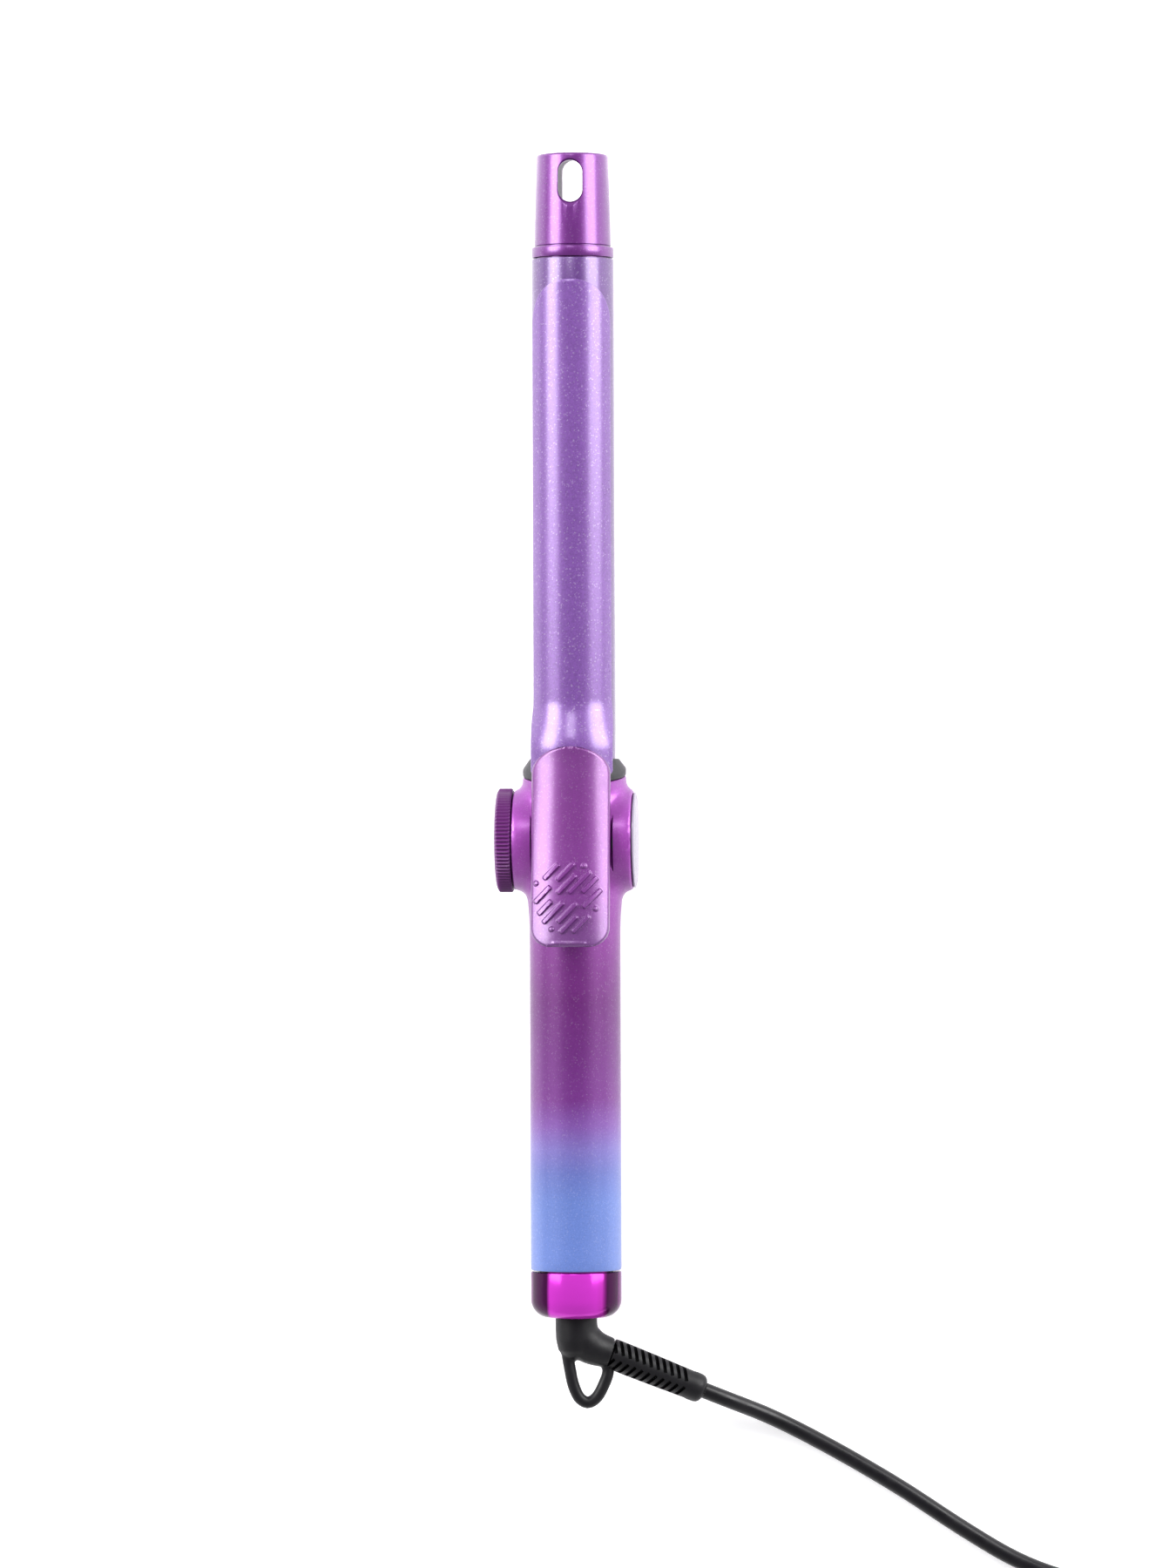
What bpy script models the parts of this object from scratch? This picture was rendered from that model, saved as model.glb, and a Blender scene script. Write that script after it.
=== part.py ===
"""Curling iron with a spring clamp, a thumb lever, a temperature dial, a flip stand and a swivel cord.

Frame: X to the right, Y along the iron with the tip at +Y, Z up. The iron lies on its folded
stand: the floor is Z = 0 and the origin is the middle of the stand's flat foot.
All dimensions below are millimetres in the iron's own frame, whose Y axis is the barrel's axis
and whose Y = 0 is the middle of the cross hub; SHIFT places that frame in the world.
"""

import math

import bmesh
import bpy
import numpy as np
from mathutils import Matrix, Vector

for old in list(bpy.data.objects):
    bpy.data.objects.remove(old, do_unlink=True)

MM = 0.001
AXIS_H = 20.0  # the barrel's axis above the floor
FOOT_Y = 46.0  # middle of the stand's foot, ahead of the hub
SHIFT = Vector((0.0, -FOOT_Y, AXIS_H))

# barrel and tip
R_BARREL, R_BORE = 12.7, 11.7
Y_BARREL = (17.5, 180.0)
Y_TIP_RING = (180.35, 183.8)
Y_TIP = 212.4
R_TIP = (11.9, 11.2)
HOLE_HALF_W, HOLE_HALF_L, HOLE_Y = 3.7, 6.35, 203.6
# clamp
R_CLAMP_IN, CLAMP_T = 13.0, 0.9
R_CHANNEL_IN = 16.4
Y_CLAMP_END, CLAMP_TIP_L = 173.2, 14.0
PIVOT = (11.0, 8.5)  # Y, Z of the clamp's hinge pin
R_PIN = 1.2
# lever
LEVER_W, LEVER_T = 12.15, 2.0
Y_LEVER = (-32.5, 29.0)
# hub, handle, end cap
R_NECK, R_HUB, R_HANDLE = 16.0, 15.5, 14.05
HUB_X = (-18.7, 18.2)
WALL = 2.15
Y_SEAM, Y_CAP_END = -133.3, -147.8
FILLET = 2.2
# stand
STAND_PIN = (9.0, -12.7)
STAND_END = 76.0
# swivel
ROLL = math.radians(12.0)
ELBOW_Y = -154.8
BOOT_ANGLE = math.radians(-22.2)
BOOT_S = (11.6, 43.0)  # distances from the elbow's centre along the boot
# cord
CORD_R = 2.5
COIL_C = (166.0, -272.5)
COIL_R = (22.0, 38.0)
COIL_TOP = 15.0


# ---------------------------------------------------------------- helpers
def material(name, colour, rough, metal=0.0):
    made = bpy.data.materials.get(name)
    if made:
        return made
    made = bpy.data.materials.new(name)
    made.use_nodes = True
    shader = made.node_tree.nodes["Principled BSDF"]
    linear = [((c / 255 + 0.055) / 1.055) ** 2.4 if c > 10 else c / 3295 for c in colour]
    shader.inputs["Base Color"].default_value = (*linear, 1)
    shader.inputs["Roughness"].default_value = rough
    shader.inputs["Metallic"].default_value = metal
    return made


M = {
    "pearl": ((160, 122, 199), 0.3, 0.75),
    "tip": ((190, 120, 205), 0.35, 0.6),
    "lilac": ((189, 156, 223), 0.3, 0.75),
    "pink": ((205, 140, 215), 0.33, 0.6),
    "grade": ((150, 105, 190), 0.35, 0.5),
    "plum": ((92, 35, 103), 0.42, 0.1),
    "magenta": ((198, 58, 192), 0.15, 0.9),
    "charcoal": ((64, 58, 72), 0.45, 0.0),
    "black": ((35, 33, 38), 0.5, 0.0),
    "cord": ((38, 35, 45), 0.35, 0.0),
    "milk": ((235, 228, 245), 0.25, 0.0),
    "steel": ((190, 190, 195), 0.3, 1.0),
    "alu": ((200, 202, 206), 0.4, 1.0),
    "brass": ((200, 160, 80), 0.3, 1.0),
    "copper": ((190, 110, 80), 0.3, 1.0),
    "ceramic": ((225, 220, 205), 0.6, 0.0),
    "board": ((25, 95, 60), 0.5, 0.0),
    "chip": ((30, 30, 32), 0.5, 0.0),
    "film": ((215, 120, 30), 0.45, 0.0),
    "red": ((170, 30, 25), 0.5, 0.0),
    "blue": ((40, 80, 160), 0.5, 0.0),
    "mica": ((170, 140, 90), 0.6, 0.0),
}


def empty(name, at, turn=None):
    made = bpy.data.objects.new(name, None)
    bpy.context.scene.collection.objects.link(made)
    made.empty_display_size = 0.01
    made.matrix_world = Matrix.Translation(at * MM) @ (turn or Matrix.Identity(4))
    return made


IRON = empty("iron_frame", SHIFT)
TURN = Matrix.Rotation(ROLL, 4, "Y")
PIVOTS = {
    "clamp": empty("clamp_pivot", SHIFT + Vector((0, *PIVOT))),
    "dial": empty("dial_axis", SHIFT + Vector((HUB_X[0], 0, 0))),
    "stand": empty("stand_pivot", SHIFT + Vector((0, *STAND_PIN))),
    "swivel": empty("swivel_axis", SHIFT + Vector((0, ELBOW_Y, 0)), TURN),
    "iron": IRON,
    "world": empty("world_frame", Vector((0, 0, 0))),
}
ORIGIN = {
    "clamp": Vector((0, *PIVOT)),
    "dial": Vector((HUB_X[0], 0, 0)),
    "stand": Vector((0, *STAND_PIN)),
    "swivel": Vector((0, ELBOW_Y, 0)),
    "iron": Vector((0, 0, 0)),
    "world": Vector((0, 0, 0)),
}


def add(name, bm, mat, on="iron", cutter=False, sharp=35):
    """Makes the object from a bmesh in millimetres of the iron's frame, with its origin on the given pivot."""
    # flat triangles keep the Booleans exact on twisted quads
    bmesh.ops.triangulate(bm, faces=[f for f in bm.faces if len(f.verts) == 4 or cutter])
    bmesh.ops.translate(bm, vec=-ORIGIN[on], verts=bm.verts)
    bmesh.ops.scale(bm, vec=(MM, MM, MM), verts=bm.verts)
    mesh = bpy.data.meshes.new(name)
    bm.to_mesh(mesh)
    bm.free()
    made = bpy.data.objects.new(name, mesh)
    bpy.context.scene.collection.objects.link(made)
    made.parent = PIVOTS[on]
    if cutter:
        made.hide_render = True
        made.display_type = "WIRE"
        return made
    mesh.materials.append(material(mat, *M[mat]))
    mesh.shade_smooth()
    mesh.set_sharp_from_angle(angle=math.radians(sharp))
    return made


def boolean(obj, other, how="DIFFERENCE"):
    made = obj.modifiers.new(how.lower(), "BOOLEAN")
    made.operation = how
    made.object = other
    made.solver = "EXACT"
    return made


def closed_grid(rows, wrap_u=False, wrap_v=False, cap=False):
    """A bmesh of quads over rows of points. cap closes the first and last row with fans' worth of one face each."""
    bm = bmesh.new()
    verts = [[bm.verts.new(p) for p in row] for row in rows]
    nu, nv = len(verts), len(verts[0])
    for i in range(nu if wrap_u else nu - 1):
        for j in range(nv if wrap_v else nv - 1):
            quad = [verts[i][j], verts[i][(j + 1) % nv], verts[(i + 1) % nu][(j + 1) % nv], verts[(i + 1) % nu][j]]
            quad = list(dict.fromkeys(quad))
            bm.faces.new(quad)
    if cap:
        bm.faces.new(verts[0][::-1])
        bm.faces.new(verts[-1])
    bmesh.ops.recalc_face_normals(bm, faces=bm.faces)
    return bm


def turned(profile, axis="Y", n=32, at=(0, 0, 0), cap=True):
    """A solid of revolution from (distance along the axis, radius) points, open or closed at its ends by cap."""
    at = Vector(at)
    rows = []
    for along, radius in profile:
        row = []
        for k in range(n):
            a = 2 * math.pi * k / n
            c, s = radius * math.cos(a), radius * math.sin(a)
            p = {"Y": (c, along, s), "X": (along, c, s), "Z": (c, s, along)}[axis]
            row.append(at + Vector(p))
        rows.append(row)
    return closed_grid(rows, wrap_v=True, cap=cap) if cap else closed_grid(rows, wrap_u=True, wrap_v=True)


def ring(profile, axis="Y", n=32, at=(0, 0, 0)):
    return turned(profile, axis, n, at, cap=False)


def tube(y0, y1, r_out, r_in, axis="Y", n=32, at=(0, 0, 0), c=0.3):
    return ring([(y0, r_in), (y0, r_out - c), (y0 + c, r_out), (y1 - c, r_out), (y1, r_out - c), (y1, r_in)], axis, n, at)


def rod(y0, y1, r, axis="Y", n=16, at=(0, 0, 0), c=0.2):
    return turned([(y0, r - c), (y0 + c, r), (y1 - c, r), (y1, r - c)], axis, n, at)


def box(lo, hi, bevel=0.0, segments=1):
    bm = bmesh.new()
    bmesh.ops.create_cube(bm, size=1)
    lo, hi = Vector(lo), Vector(hi)
    bmesh.ops.scale(bm, vec=hi - lo, verts=bm.verts)
    bmesh.ops.translate(bm, vec=(lo + hi) / 2, verts=bm.verts)
    if bevel:
        bmesh.ops.bevel(bm, geom=list(bm.edges), offset=bevel, segments=segments, affect="EDGES", profile=0.5)
    return bm


def prism(outline, lo, hi, axis="X"):
    """A closed prism of a 2D outline. The outline is (Y, Z) for axis X and (X, Y) for axis Z, (X, Z) for axis Y."""
    def point(a, b, t):
        return {"X": (t, a, b), "Z": (a, b, t), "Y": (a, t, b)}[axis]

    return closed_grid([[point(a, b, lo) for a, b in outline], [point(a, b, hi) for a, b in outline]], wrap_v=True, cap=True)


def joined(*parts):
    """One bmesh out of several, for cutters whose pieces don't touch."""
    whole = bmesh.new()
    for part in parts:
        mesh = bpy.data.meshes.new("part")
        part.to_mesh(mesh)
        part.free()
        whole.from_mesh(mesh)
        bpy.data.meshes.remove(mesh)
    return whole


def smooth(t):
    t = min(1.0, max(0.0, t))
    return t * t * (3 - 2 * t)


def lerp_table(table, x):
    """Linear reading of a table of (x, value) pairs with rising x."""
    return float(np.interp(x, [a for a, _ in table], [b for _, b in table]))


def swept(points, r, n=8):
    """A tube along a list of points, as a bmesh, with flat ends."""
    points = [Vector(p) for p in points]
    rows, side = [], None
    for i, p in enumerate(points):
        t = (points[min(i + 1, len(points) - 1)] - points[max(i - 1, 0)]).normalized()
        if side is None:
            side = t.orthogonal().normalized()
        side = (side - t * side.dot(t)).normalized()
        up = t.cross(side)
        radius = r[i] if isinstance(r, (list, tuple)) else r
        rows.append([p + (side * math.cos(a) + up * math.sin(a)) * radius for a in (2 * math.pi * k / n for k in range(n))])
    return closed_grid(rows, wrap_v=True, cap=True)


def spline(knots, step):
    """Points about step apart on a smooth curve (centripetal Catmull-Rom) through the knots."""
    knots = [Vector(k) for k in knots]
    ends = [2 * knots[0] - knots[1], *knots, 2 * knots[-1] - knots[-2]]
    fine = []
    for i in range(1, len(ends) - 2):
        p = ends[i - 1 : i + 3]
        t = [0.0]
        for a, b in zip(p, p[1:]):
            t.append(t[-1] + math.sqrt((b - a).length))
        for k in range(40):
            u = t[1] + (t[2] - t[1]) * k / 40
            def mix(a, b, ta, tb):
                return a * ((tb - u) / (tb - ta)) + b * ((u - ta) / (tb - ta))
            a = [mix(p[j], p[j + 1], t[j], t[j + 1]) for j in range(3)]
            b = [mix(a[0], a[1], t[0], t[2]), mix(a[1], a[2], t[1], t[3])]
            fine.append(mix(b[0], b[1], t[1], t[2]))
    fine.append(knots[-1])
    run = np.cumsum([0.0] + [(b - a).length for a, b in zip(fine, fine[1:])])
    count = max(2, round(run[-1] / step))
    at = np.linspace(0, run[-1], count + 1)
    xyz = [np.interp(at, run, [p[k] for p in fine]) for k in range(3)]
    return [Vector(p) for p in zip(*xyz)]


# ---------------------------------------------------------------- barrel, heater and tip
add("barrel_tube", ring([(Y_BARREL[0], R_BORE), (Y_BARREL[0], R_BARREL), (Y_BARREL[1], R_BARREL), (Y_BARREL[1], R_BORE)], n=40), "pearl")

tip_cut = add(
    "tip_hole_cut",
    joined(
        *[
            prism(
                [
                    (
                        (HOLE_HALF_W + grow) * math.cos(a),
                        HOLE_Y + (HOLE_HALF_L - HOLE_HALF_W) * (1 if math.sin(a) > 0 else -1) + (HOLE_HALF_W + grow) * math.sin(a),
                    )
                    for a in (2 * math.pi * (k + 0.5) / 20 for k in range(20))
                ],
                lo,
                hi,
                "Z",
            )
            for grow, lo, hi in ((0, -20, 20),)
        ]
    ),
    None,
    cutter=True,
)
tip = add(
    "cool_tip",
    turned(
        [
            (172.0, 11.0), (Y_TIP_RING[0], 11.2), (Y_TIP_RING[0] + 0.01, R_BARREL - 0.3), (180.9, R_BARREL), (183.2, R_BARREL),
            (Y_TIP_RING[1], R_TIP[0]), (210.9, R_TIP[1]), (212.0, R_TIP[1] - 0.5), (Y_TIP, R_TIP[1] - 1.4),
        ],
        n=32,
    ),
    "tip",
)
boolean(tip, tip_cut)

add("ptc_heater", box((-6.5, 55, -2.5), (6.5, 150, 2.5), 0.4), "ceramic")
for name, side in (("heat_spreader_front", 1), ("heat_spreader_rear", -1)):
    arc = [(11.3 * math.cos(a), side * 11.3 * math.sin(a)) for a in np.linspace(math.asin(3.0 / 11.3), math.pi - math.asin(3.0 / 11.3), 13)]
    add(name, prism(arc, 48, 165, "Y"), "alu")
for name, side in (("heater_spring_left", -1), ("heater_spring_right", 1)):
    bow = [(y, 1.9 * math.cos(math.pi * 4 * (y - 60) / 85)) for y in np.linspace(60, 145, 17)]
    outline = [(y, z + 0.25) for y, z in bow] + [(y, z - 0.25) for y, z in bow[::-1]]
    add(name, prism(outline, side * 8.6 - 1.2, side * 8.6 + 1.2, "X"), "steel")
add("thermistor", rod(33.0, 46.5, 1.7, n=12, at=(0, 0, 9.6), c=0.7), "ceramic")
add("thermal_fuse", rod(32.0, 44.0, 2.0, n=12, at=(0, 0, -7.5), c=0.4), "steel")

# the sleeve that carries the hot tube in the hub's neck
add(
    "barrel_mount",
    ring([(15.0, 9.4), (15.0, 13.1), (17.2, 13.1), (17.2, 11.35), (30.0, 11.35), (30.0, 9.4)], n=24),
    "ceramic",
)

# the collar, whose lower edge lies in a plane that leans back
def seam_y(z):
    return 20.1 - 2.6 * z / 16.0


rows = []
for k in range(40):
    a = 2 * math.pi * k / 40
    s = math.sin(a)
    rows.append(
        [
            Vector((r * math.cos(a), y, r * s))
            for y, r in (
                (25.2, 13.1), (25.2, 13.9), (seam_y(16 * s) + 1.9, 16.0), (seam_y(16 * s), 16.0), (seam_y(13.1 * s), 13.1),
            )
        ]
    )
add("collar", closed_grid(rows, wrap_u=True, wrap_v=True), "charcoal")

# ---------------------------------------------------------------- clamp
def channel_r(y):
    """Inner radius of the clamp's section, widening from the barrel's to the channel's that clears the collar."""
    return R_CLAMP_IN + (R_CHANNEL_IN - R_CLAMP_IN) * smooth((43.0 - y) / 15.0)


def clamp_half_x(y):
    """Half the clamp's width, seen square on."""
    wide = 12.2 + 0.6 * smooth((45 - y) / 10.0)
    return wide - 3.0 * smooth((21.5 - y) / 3.5)


def clamp_section(y):
    r = channel_r(y)
    half = math.asin(min(1.0, clamp_half_x(y) / (r + CLAMP_T)))
    t = Y_CLAMP_END - y
    if t < CLAMP_TIP_L:
        half *= math.sqrt(max(0.0, 1 - (1 - t / CLAMP_TIP_L) ** 2))
    return r, max(half, 0.06)


stations = [6.0, 18.0, 20.0, 22.0, 28.0, 31.0, 34.0, 37.0, 40.0, 43.0, 47.0, 103.0, 157.0]
stations += [Y_CLAMP_END - CLAMP_TIP_L * (1 - math.cos(a)) for a in np.linspace(math.radians(82), 0, 8)]
across = np.linspace(-1, 1, 11)
rows = []
for y in stations:
    r, half = clamp_section(y)
    outer = [Vector(((r + CLAMP_T) * math.sin(u * half), y, (r + CLAMP_T) * math.cos(u * half))) for u in across]
    inner = [Vector((r * math.sin(u * half), y, r * math.cos(u * half))) for u in across[::-1]]
    rows.append(outer + inner)
clamp = add("clamp_plate", closed_grid(rows, wrap_v=True, cap=True), "lilac", "clamp")


def ear(x0, x1):
    y, z = PIVOT
    outline = [(14.2, 16.3), (14.2, z)] + [(y + 3.2 * math.cos(a), z + 3.2 * math.sin(a)) for a in np.linspace(-0.15, -math.pi + 0.15, 7)] + [(7.4, z + 0.8), (6.4, 16.3)]
    # the top edge stays inside the plate's thickness
    top = math.sqrt(R_CHANNEL_IN**2 - 9.3**2) + 0.55
    outline = [(a, min(b, top)) for a, b in outline]
    return prism(outline, x0, x1, "X")


ears = add("clamp_ears_join", joined(ear(-9.8, -8.8), ear(8.8, 9.8)), None, "clamp", cutter=True)
boolean(clamp, ears, "UNION")
SCREWS = ((-5.5, 9.0), (5.5, 9.0))
drill = [rod(-13, 13, R_PIN + 0.25, "X", 16, (0, *PIVOT), c=0.01)]
drill += [rod(14, 20, 1.15, "Z", 12, (x, y, 0), c=0.01) for x, y in SCREWS]
boolean(clamp, add("clamp_drill", joined(*drill), None, "clamp", cutter=True))

# ---------------------------------------------------------------- thumb lever
LEVER_TOP = ((-33.0, 27.6), (-30.0, 27.2), (-20.0, 25.7), (-10.0, 24.2), (0.0, 22.8), (10.0, 21.6), (20.0, 20.5), (25.0, 19.9), (29.0, 19.6))
LEVER_R = ((-32.5, 23.0), (0.0, 21.0), (15.0, 19.6), (29.0, 19.6))


def lever_half(y):
    top, low = Y_LEVER[1] - y, y - Y_LEVER[0]
    w = LEVER_W
    if top < 8.5:
        w = LEVER_W * math.sqrt(max(0.0, 1 - (1 - top / 8.5) ** 2))
    if low < 6.0:
        w = LEVER_W - 6.0 + math.sqrt(max(0.0, 36.0 - (6.0 - low) ** 2))
    return max(w, 0.8)


def lever_point(x, y, under=0.0):
    """The lever's surface: its crown follows LEVER_TOP and its section is an arc; under is the depth below it."""
    r = lerp_table(LEVER_R, y)
    return Vector((x, y, lerp_table(LEVER_TOP, y) - r + math.sqrt(max(0.0, (r - under) ** 2 - x * x))))


ys = [Y_LEVER[1] - 8.5 * (1 - math.cos(a)) for a in np.linspace(0.05, math.radians(88), 7)]
ys += [10.0, 0.0, -12.0, -22.0]
ys += [Y_LEVER[0] + 6.0 * (1 - math.sin(a)) for a in np.linspace(0.05, math.radians(86), 5)]
rows = []
for y in ys:
    w = lever_half(y)
    across = [w * math.sin(a) for a in np.linspace(-math.pi / 2 * 0.9, math.pi / 2 * 0.9, 9)]
    across = [x * w / abs(across[0]) for x in across]
    rows.append([lever_point(x, y) for x in across] + [lever_point(x, y, LEVER_T) for x in across[::-1]])
lever = add("thumb_lever", closed_grid(rows, wrap_v=True, cap=True), "pink", "clamp")
drill = [rod(15.5, 18.55, 1.15, "Z", 12, (x, y, 0), c=0.01) for x, y in SCREWS]
boolean(lever, add("lever_drill", joined(*drill), None, "clamp", cutter=True))

# raised grip bars in a round patch: each is (x, y, length), all leaning the same way
LEAN = math.radians(43)
BARS = ((-5.7, -9.4, 6.3), (-1.2, -9.5, 7.2), (-0.9, -13.3, 7.6), (3.1, -12.7, 9.0), (6.3, -13.5, 6.2), (7.0, -17.7, 7.6),
        (-8.4, -16.5, 6.9), (-7.6, -20.4, 5.7), (-5.0, -22.0, 8.6), (-0.6, -22.1, 8.0), (-0.2, -25.6, 7.0), (3.6, -25.5, 6.9))


def bar(x, y, length):
    d = Vector((math.cos(LEAN), math.sin(LEAN)))
    n = Vector((-d.y, d.x))
    rows = []
    for t in (-0.5, 0.5):
        row = []
        for u, lift in ((-1, -0.5), (-0.45, 0.3), (0.45, 0.3), (1, -0.5)):
            q = Vector((x, y)) + d * (t * length - math.copysign(max(0.0, lift), t)) + n * u * 0.95
            row.append(lever_point(q.x, q.y) + Vector((0, 0, lift)))
        rows.append(row)
    return closed_grid(rows, wrap_v=True, cap=True)


grip = add("lever_grip_join", joined(*[bar(*b) for b in BARS]), None, "clamp", cutter=True)
boolean(lever, grip, "UNION")

for k, (x, y) in enumerate(SCREWS, 1):
    add(
        f"lever_screw_{k}",
        turned([(13.0, 1.3), (13.3, 1.7), (14.3, 1.7), (14.35, 0.85), (18.1, 0.85), (18.3, 0.6)], "Z", 12, (x, y, 0)),
        "steel",
        "clamp",
    )

# hinge pin and the spring that closes the clamp
add("pivot_pin", rod(-12.7, 12.7, R_PIN, "X", 12, (0, *PIVOT)), "steel")
turns, coil = 5.0, []
coil.append((-4.6, PIVOT[0] + 6.0, PIVOT[1] - 3.4))
coil.append((-4.45, PIVOT[0] + 2.6, PIVOT[1] - 2.75))
for k in range(int(turns * 9) + 1):
    a = -math.pi / 2 + 2 * math.pi * k / 9
    coil.append((-4.3 + 8.6 * k / (turns * 9), PIVOT[0] + 2.7 * math.cos(a), PIVOT[1] + 2.7 * math.sin(a)))
x, y, z = coil[-1]
coil[-1] = (4.35, PIVOT[0] - 0.4, PIVOT[1] - 2.75)
coil.append((4.5, PIVOT[0] - 5.2, PIVOT[1] - 2.9))
add("clamp_spring", swept(coil, 0.5, 5), "steel", "clamp")

# ---------------------------------------------------------------- hub and handle shells
NECK_R = ((-200.0, R_HANDLE), (-27.0, R_HANDLE), (-22.0, 14.3), (-15.0, 15.0), (0.0, 15.4), (10.0, 15.7), (15.0, R_NECK), (40.0, R_NECK))


def hub_distance(x, y, z):
    """Smooth union of the turned body along Y and the cross hub along X: negative inside."""
    body = np.hypot(x, z) - np.interp(y, [a for a, _ in NECK_R], [b for _, b in NECK_R])
    mid, half = (HUB_X[0] + HUB_X[1]) / 2, (HUB_X[1] - HUB_X[0]) / 2
    a, b = np.abs(x - mid) - half, np.hypot(y, z) - R_HUB
    hub = np.minimum(np.maximum(a, b), 0) + np.hypot(np.maximum(a, 0), np.maximum(b, 0))
    h = np.clip(0.5 + 0.5 * (hub - body) / FILLET, 0, 1)
    return hub * (1 - h) + body * h - FILLET * h * (1 - h)


def hub_radius(y, angle):
    """Distance from the iron's axis to the shell's surface, found by halving."""
    lo, hi = 5.0, 26.0
    for _ in range(40):
        r = (lo + hi) / 2
        if hub_distance(r * math.cos(angle), y, r * math.sin(angle)) < 0:
            lo = r
        else:
            hi = r
    return lo


def half_shell(side):
    """The outer form of one half, as a solid from the split plane out."""
    ys = [19.75, 17.5, 16.0, 14.8, 13.0, 10.0, 5.0, 0.0, -5.0, -10.0, -13.0, -14.8, -16.0, -17.5, -20.0, -24.0, -30.0, -133.0]
    rows = []
    # the cross hub's rim needs its own sight lines
    corner = [math.atan2(z, 18.2) for z in (0.0, 3.5, 7.0, 10.0, 12.5, 14.3)]
    angles = sorted({*corner, *np.linspace(math.radians(44), math.radians(136), 10), *[math.pi - a for a in corner]})
    for k, y in enumerate(ys):
        lean = max(0.0, 1 - k / 3)
        row = []
        for a in angles:
            r = hub_radius(y, side * a)
            x, z = r * math.cos(a), r * math.sin(a) * side
            z = side * max(abs(z), 0.15)
            row.append(Vector((x, y - 0.0 - 0.1625 * z * lean, z)))
        rows.append(row)
    return closed_grid(rows, wrap_v=True, cap=True)


def cavity():
    body = turned([(40, 13.4), (-14.5, 13.4), (-19.0, 11.9), (-140, 11.9)], n=28)
    cross = turned([(-16.5, 13.2), (30.0, 13.2)], "X", 28)
    return body, cross


shells = {}
for name, side in (("housing_front", 1), ("housing_rear", -1)):
    shell = add(name, half_shell(side), "grade")
    shells[name] = shell
    if side > 0:
        # the hinge pin's blind holes
        boolean(shell, add("pin_hole_cut", rod(-13.1, 13.1, R_PIN + 0.25, "X", 12, (0, *PIVOT), c=0.01), None, cutter=True))
    body, cross = cavity()
    boolean(shell, add(f"{name}_body_cut", body, None, cutter=True))
    boolean(shell, add(f"{name}_cross_cut", cross, None, cutter=True))
    boolean(shell, add(f"{name}_shaft_cut", rod(-25, -15, 4.1, "X", 16, c=0.01), None, cutter=True))

# front: the slot under the lever for the clamp's ears
boolean(shells["housing_front"], add("ear_slot_cut", box((-10.6, 3.4, 4.0), (10.6, 30.0, 20.0)), None, cutter=True))
# front: a shallow relief that the lever's edges sink into when the clamp is wide open
relief = []
for y in np.linspace(-22.0, 12.0, 12):
    row = []
    for x in np.linspace(-12.8, 12.8, 9):
        p = lever_point(x, y, LEVER_T) - Vector((0, PIVOT[0], PIVOT[1] + 0.5))
        q = Matrix.Rotation(math.radians(13.2), 3, "X") @ p
        row.append(q + Vector((0, *PIVOT)))
    relief.append(row + [Vector((p.x, p.y, 40.0)) for p in row[::-1]])
boolean(shells["housing_front"], add("lever_relief_cut", closed_grid(relief, wrap_v=True, cap=True), None, cutter=True))
# rear: the stand's window, its pin's holes
boolean(shells["housing_rear"], add("stand_window_cut", box((-6.3, 1.5, -19.0), (6.3, 17.2, -8.0)), None, cutter=True))
boolean(shells["housing_rear"], add("stand_pin_cut", rod(-7.7, 7.7, 0.95, "X", 10, (0, *STAND_PIN), c=0.01), None, cutter=True))
# screw bosses of the two halves
BOSSES = (-33.0, -116.0)
for k, y in enumerate(BOSSES, 1):
    front = add(f"front_boss_{k}_join", rod(0.5, 12.6, 3.0, "Z", 12, (0, y, 0), c=0.01), None, cutter=True)
    boolean(shells["housing_front"], front, "UNION")
    boolean(shells["housing_front"], add(f"front_boss_{k}_cut", rod(-0.5, 7.6, 1.3, "Z", 10, (0, y, 0), c=0.01), None, cutter=True))
    rear = add(f"rear_boss_{k}_join", rod(-12.9, -0.5, 3.6, "Z", 12, (0, y, 0), c=0.01), None, cutter=True)
    boolean(shells["housing_rear"], rear, "UNION")
    boolean(
        shells["housing_rear"],
        add(f"rear_boss_{k}_cut", turned([(-16, 2.7), (-10.6, 2.7), (-10.55, 1.4), (1.0, 1.4)], "Z", 12, (0, y, 0)), None, cutter=True),
    )
    add(
        f"housing_screw_{k}",
        turned([(-12.9, 1.6), (-12.6, 2.3), (-10.95, 2.3), (-10.9, 1.0), (6.6, 1.0), (7.0, 0.6)], "Z", 12, (0, y, 0)),
        "steel",
    )

# ---------------------------------------------------------------- display side
add(
    "display_lens",
    turned([(16.9, 11.6), (16.9, 12.85), (18.45, 12.85), (18.5, 14.7), (18.9, 14.7), (19.3, 13.0), (19.65, 6.0)], "X", 28),
    "milk",
)
add("display_board", rod(11.6, 13.0, 12.6, "X", 28, c=0.1), "board")
add("display_digits", box((13.35, -8.5, -4.8), (16.4, 8.5, 4.8), 0.3), "chip")

# ---------------------------------------------------------------- dial side
add("potentiometer", ring([(-15.9, 3.2), (-15.9, 8.0), (-10.7, 8.0), (-10.7, 3.2)], "X", 20), "alu")
add("pot_bushing", ring([(-18.7, 3.1), (-18.7, 3.7), (-16.25, 3.7), (-16.25, 3.1)], "X", 16), "brass")
add("pot_shaft", rod(-22.6, -11.2, 2.75, "X", 16, c=0.3), "brass", "dial")
KNURLS = 40
rows = []
for x, r, depth in ((-19.0, 15.75, 0.3), (-23.2, 15.75, 0.3), (-23.9, 14.4, 0.0)):
    rows.append(
        [
            Vector((x, (r + depth * (1 if k % 2 else -1)) * math.cos(math.pi * k / KNURLS), (r + depth * (1 if k % 2 else -1)) * math.sin(math.pi * k / KNURLS)))
            for k in range(2 * KNURLS)
        ]
    )
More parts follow.
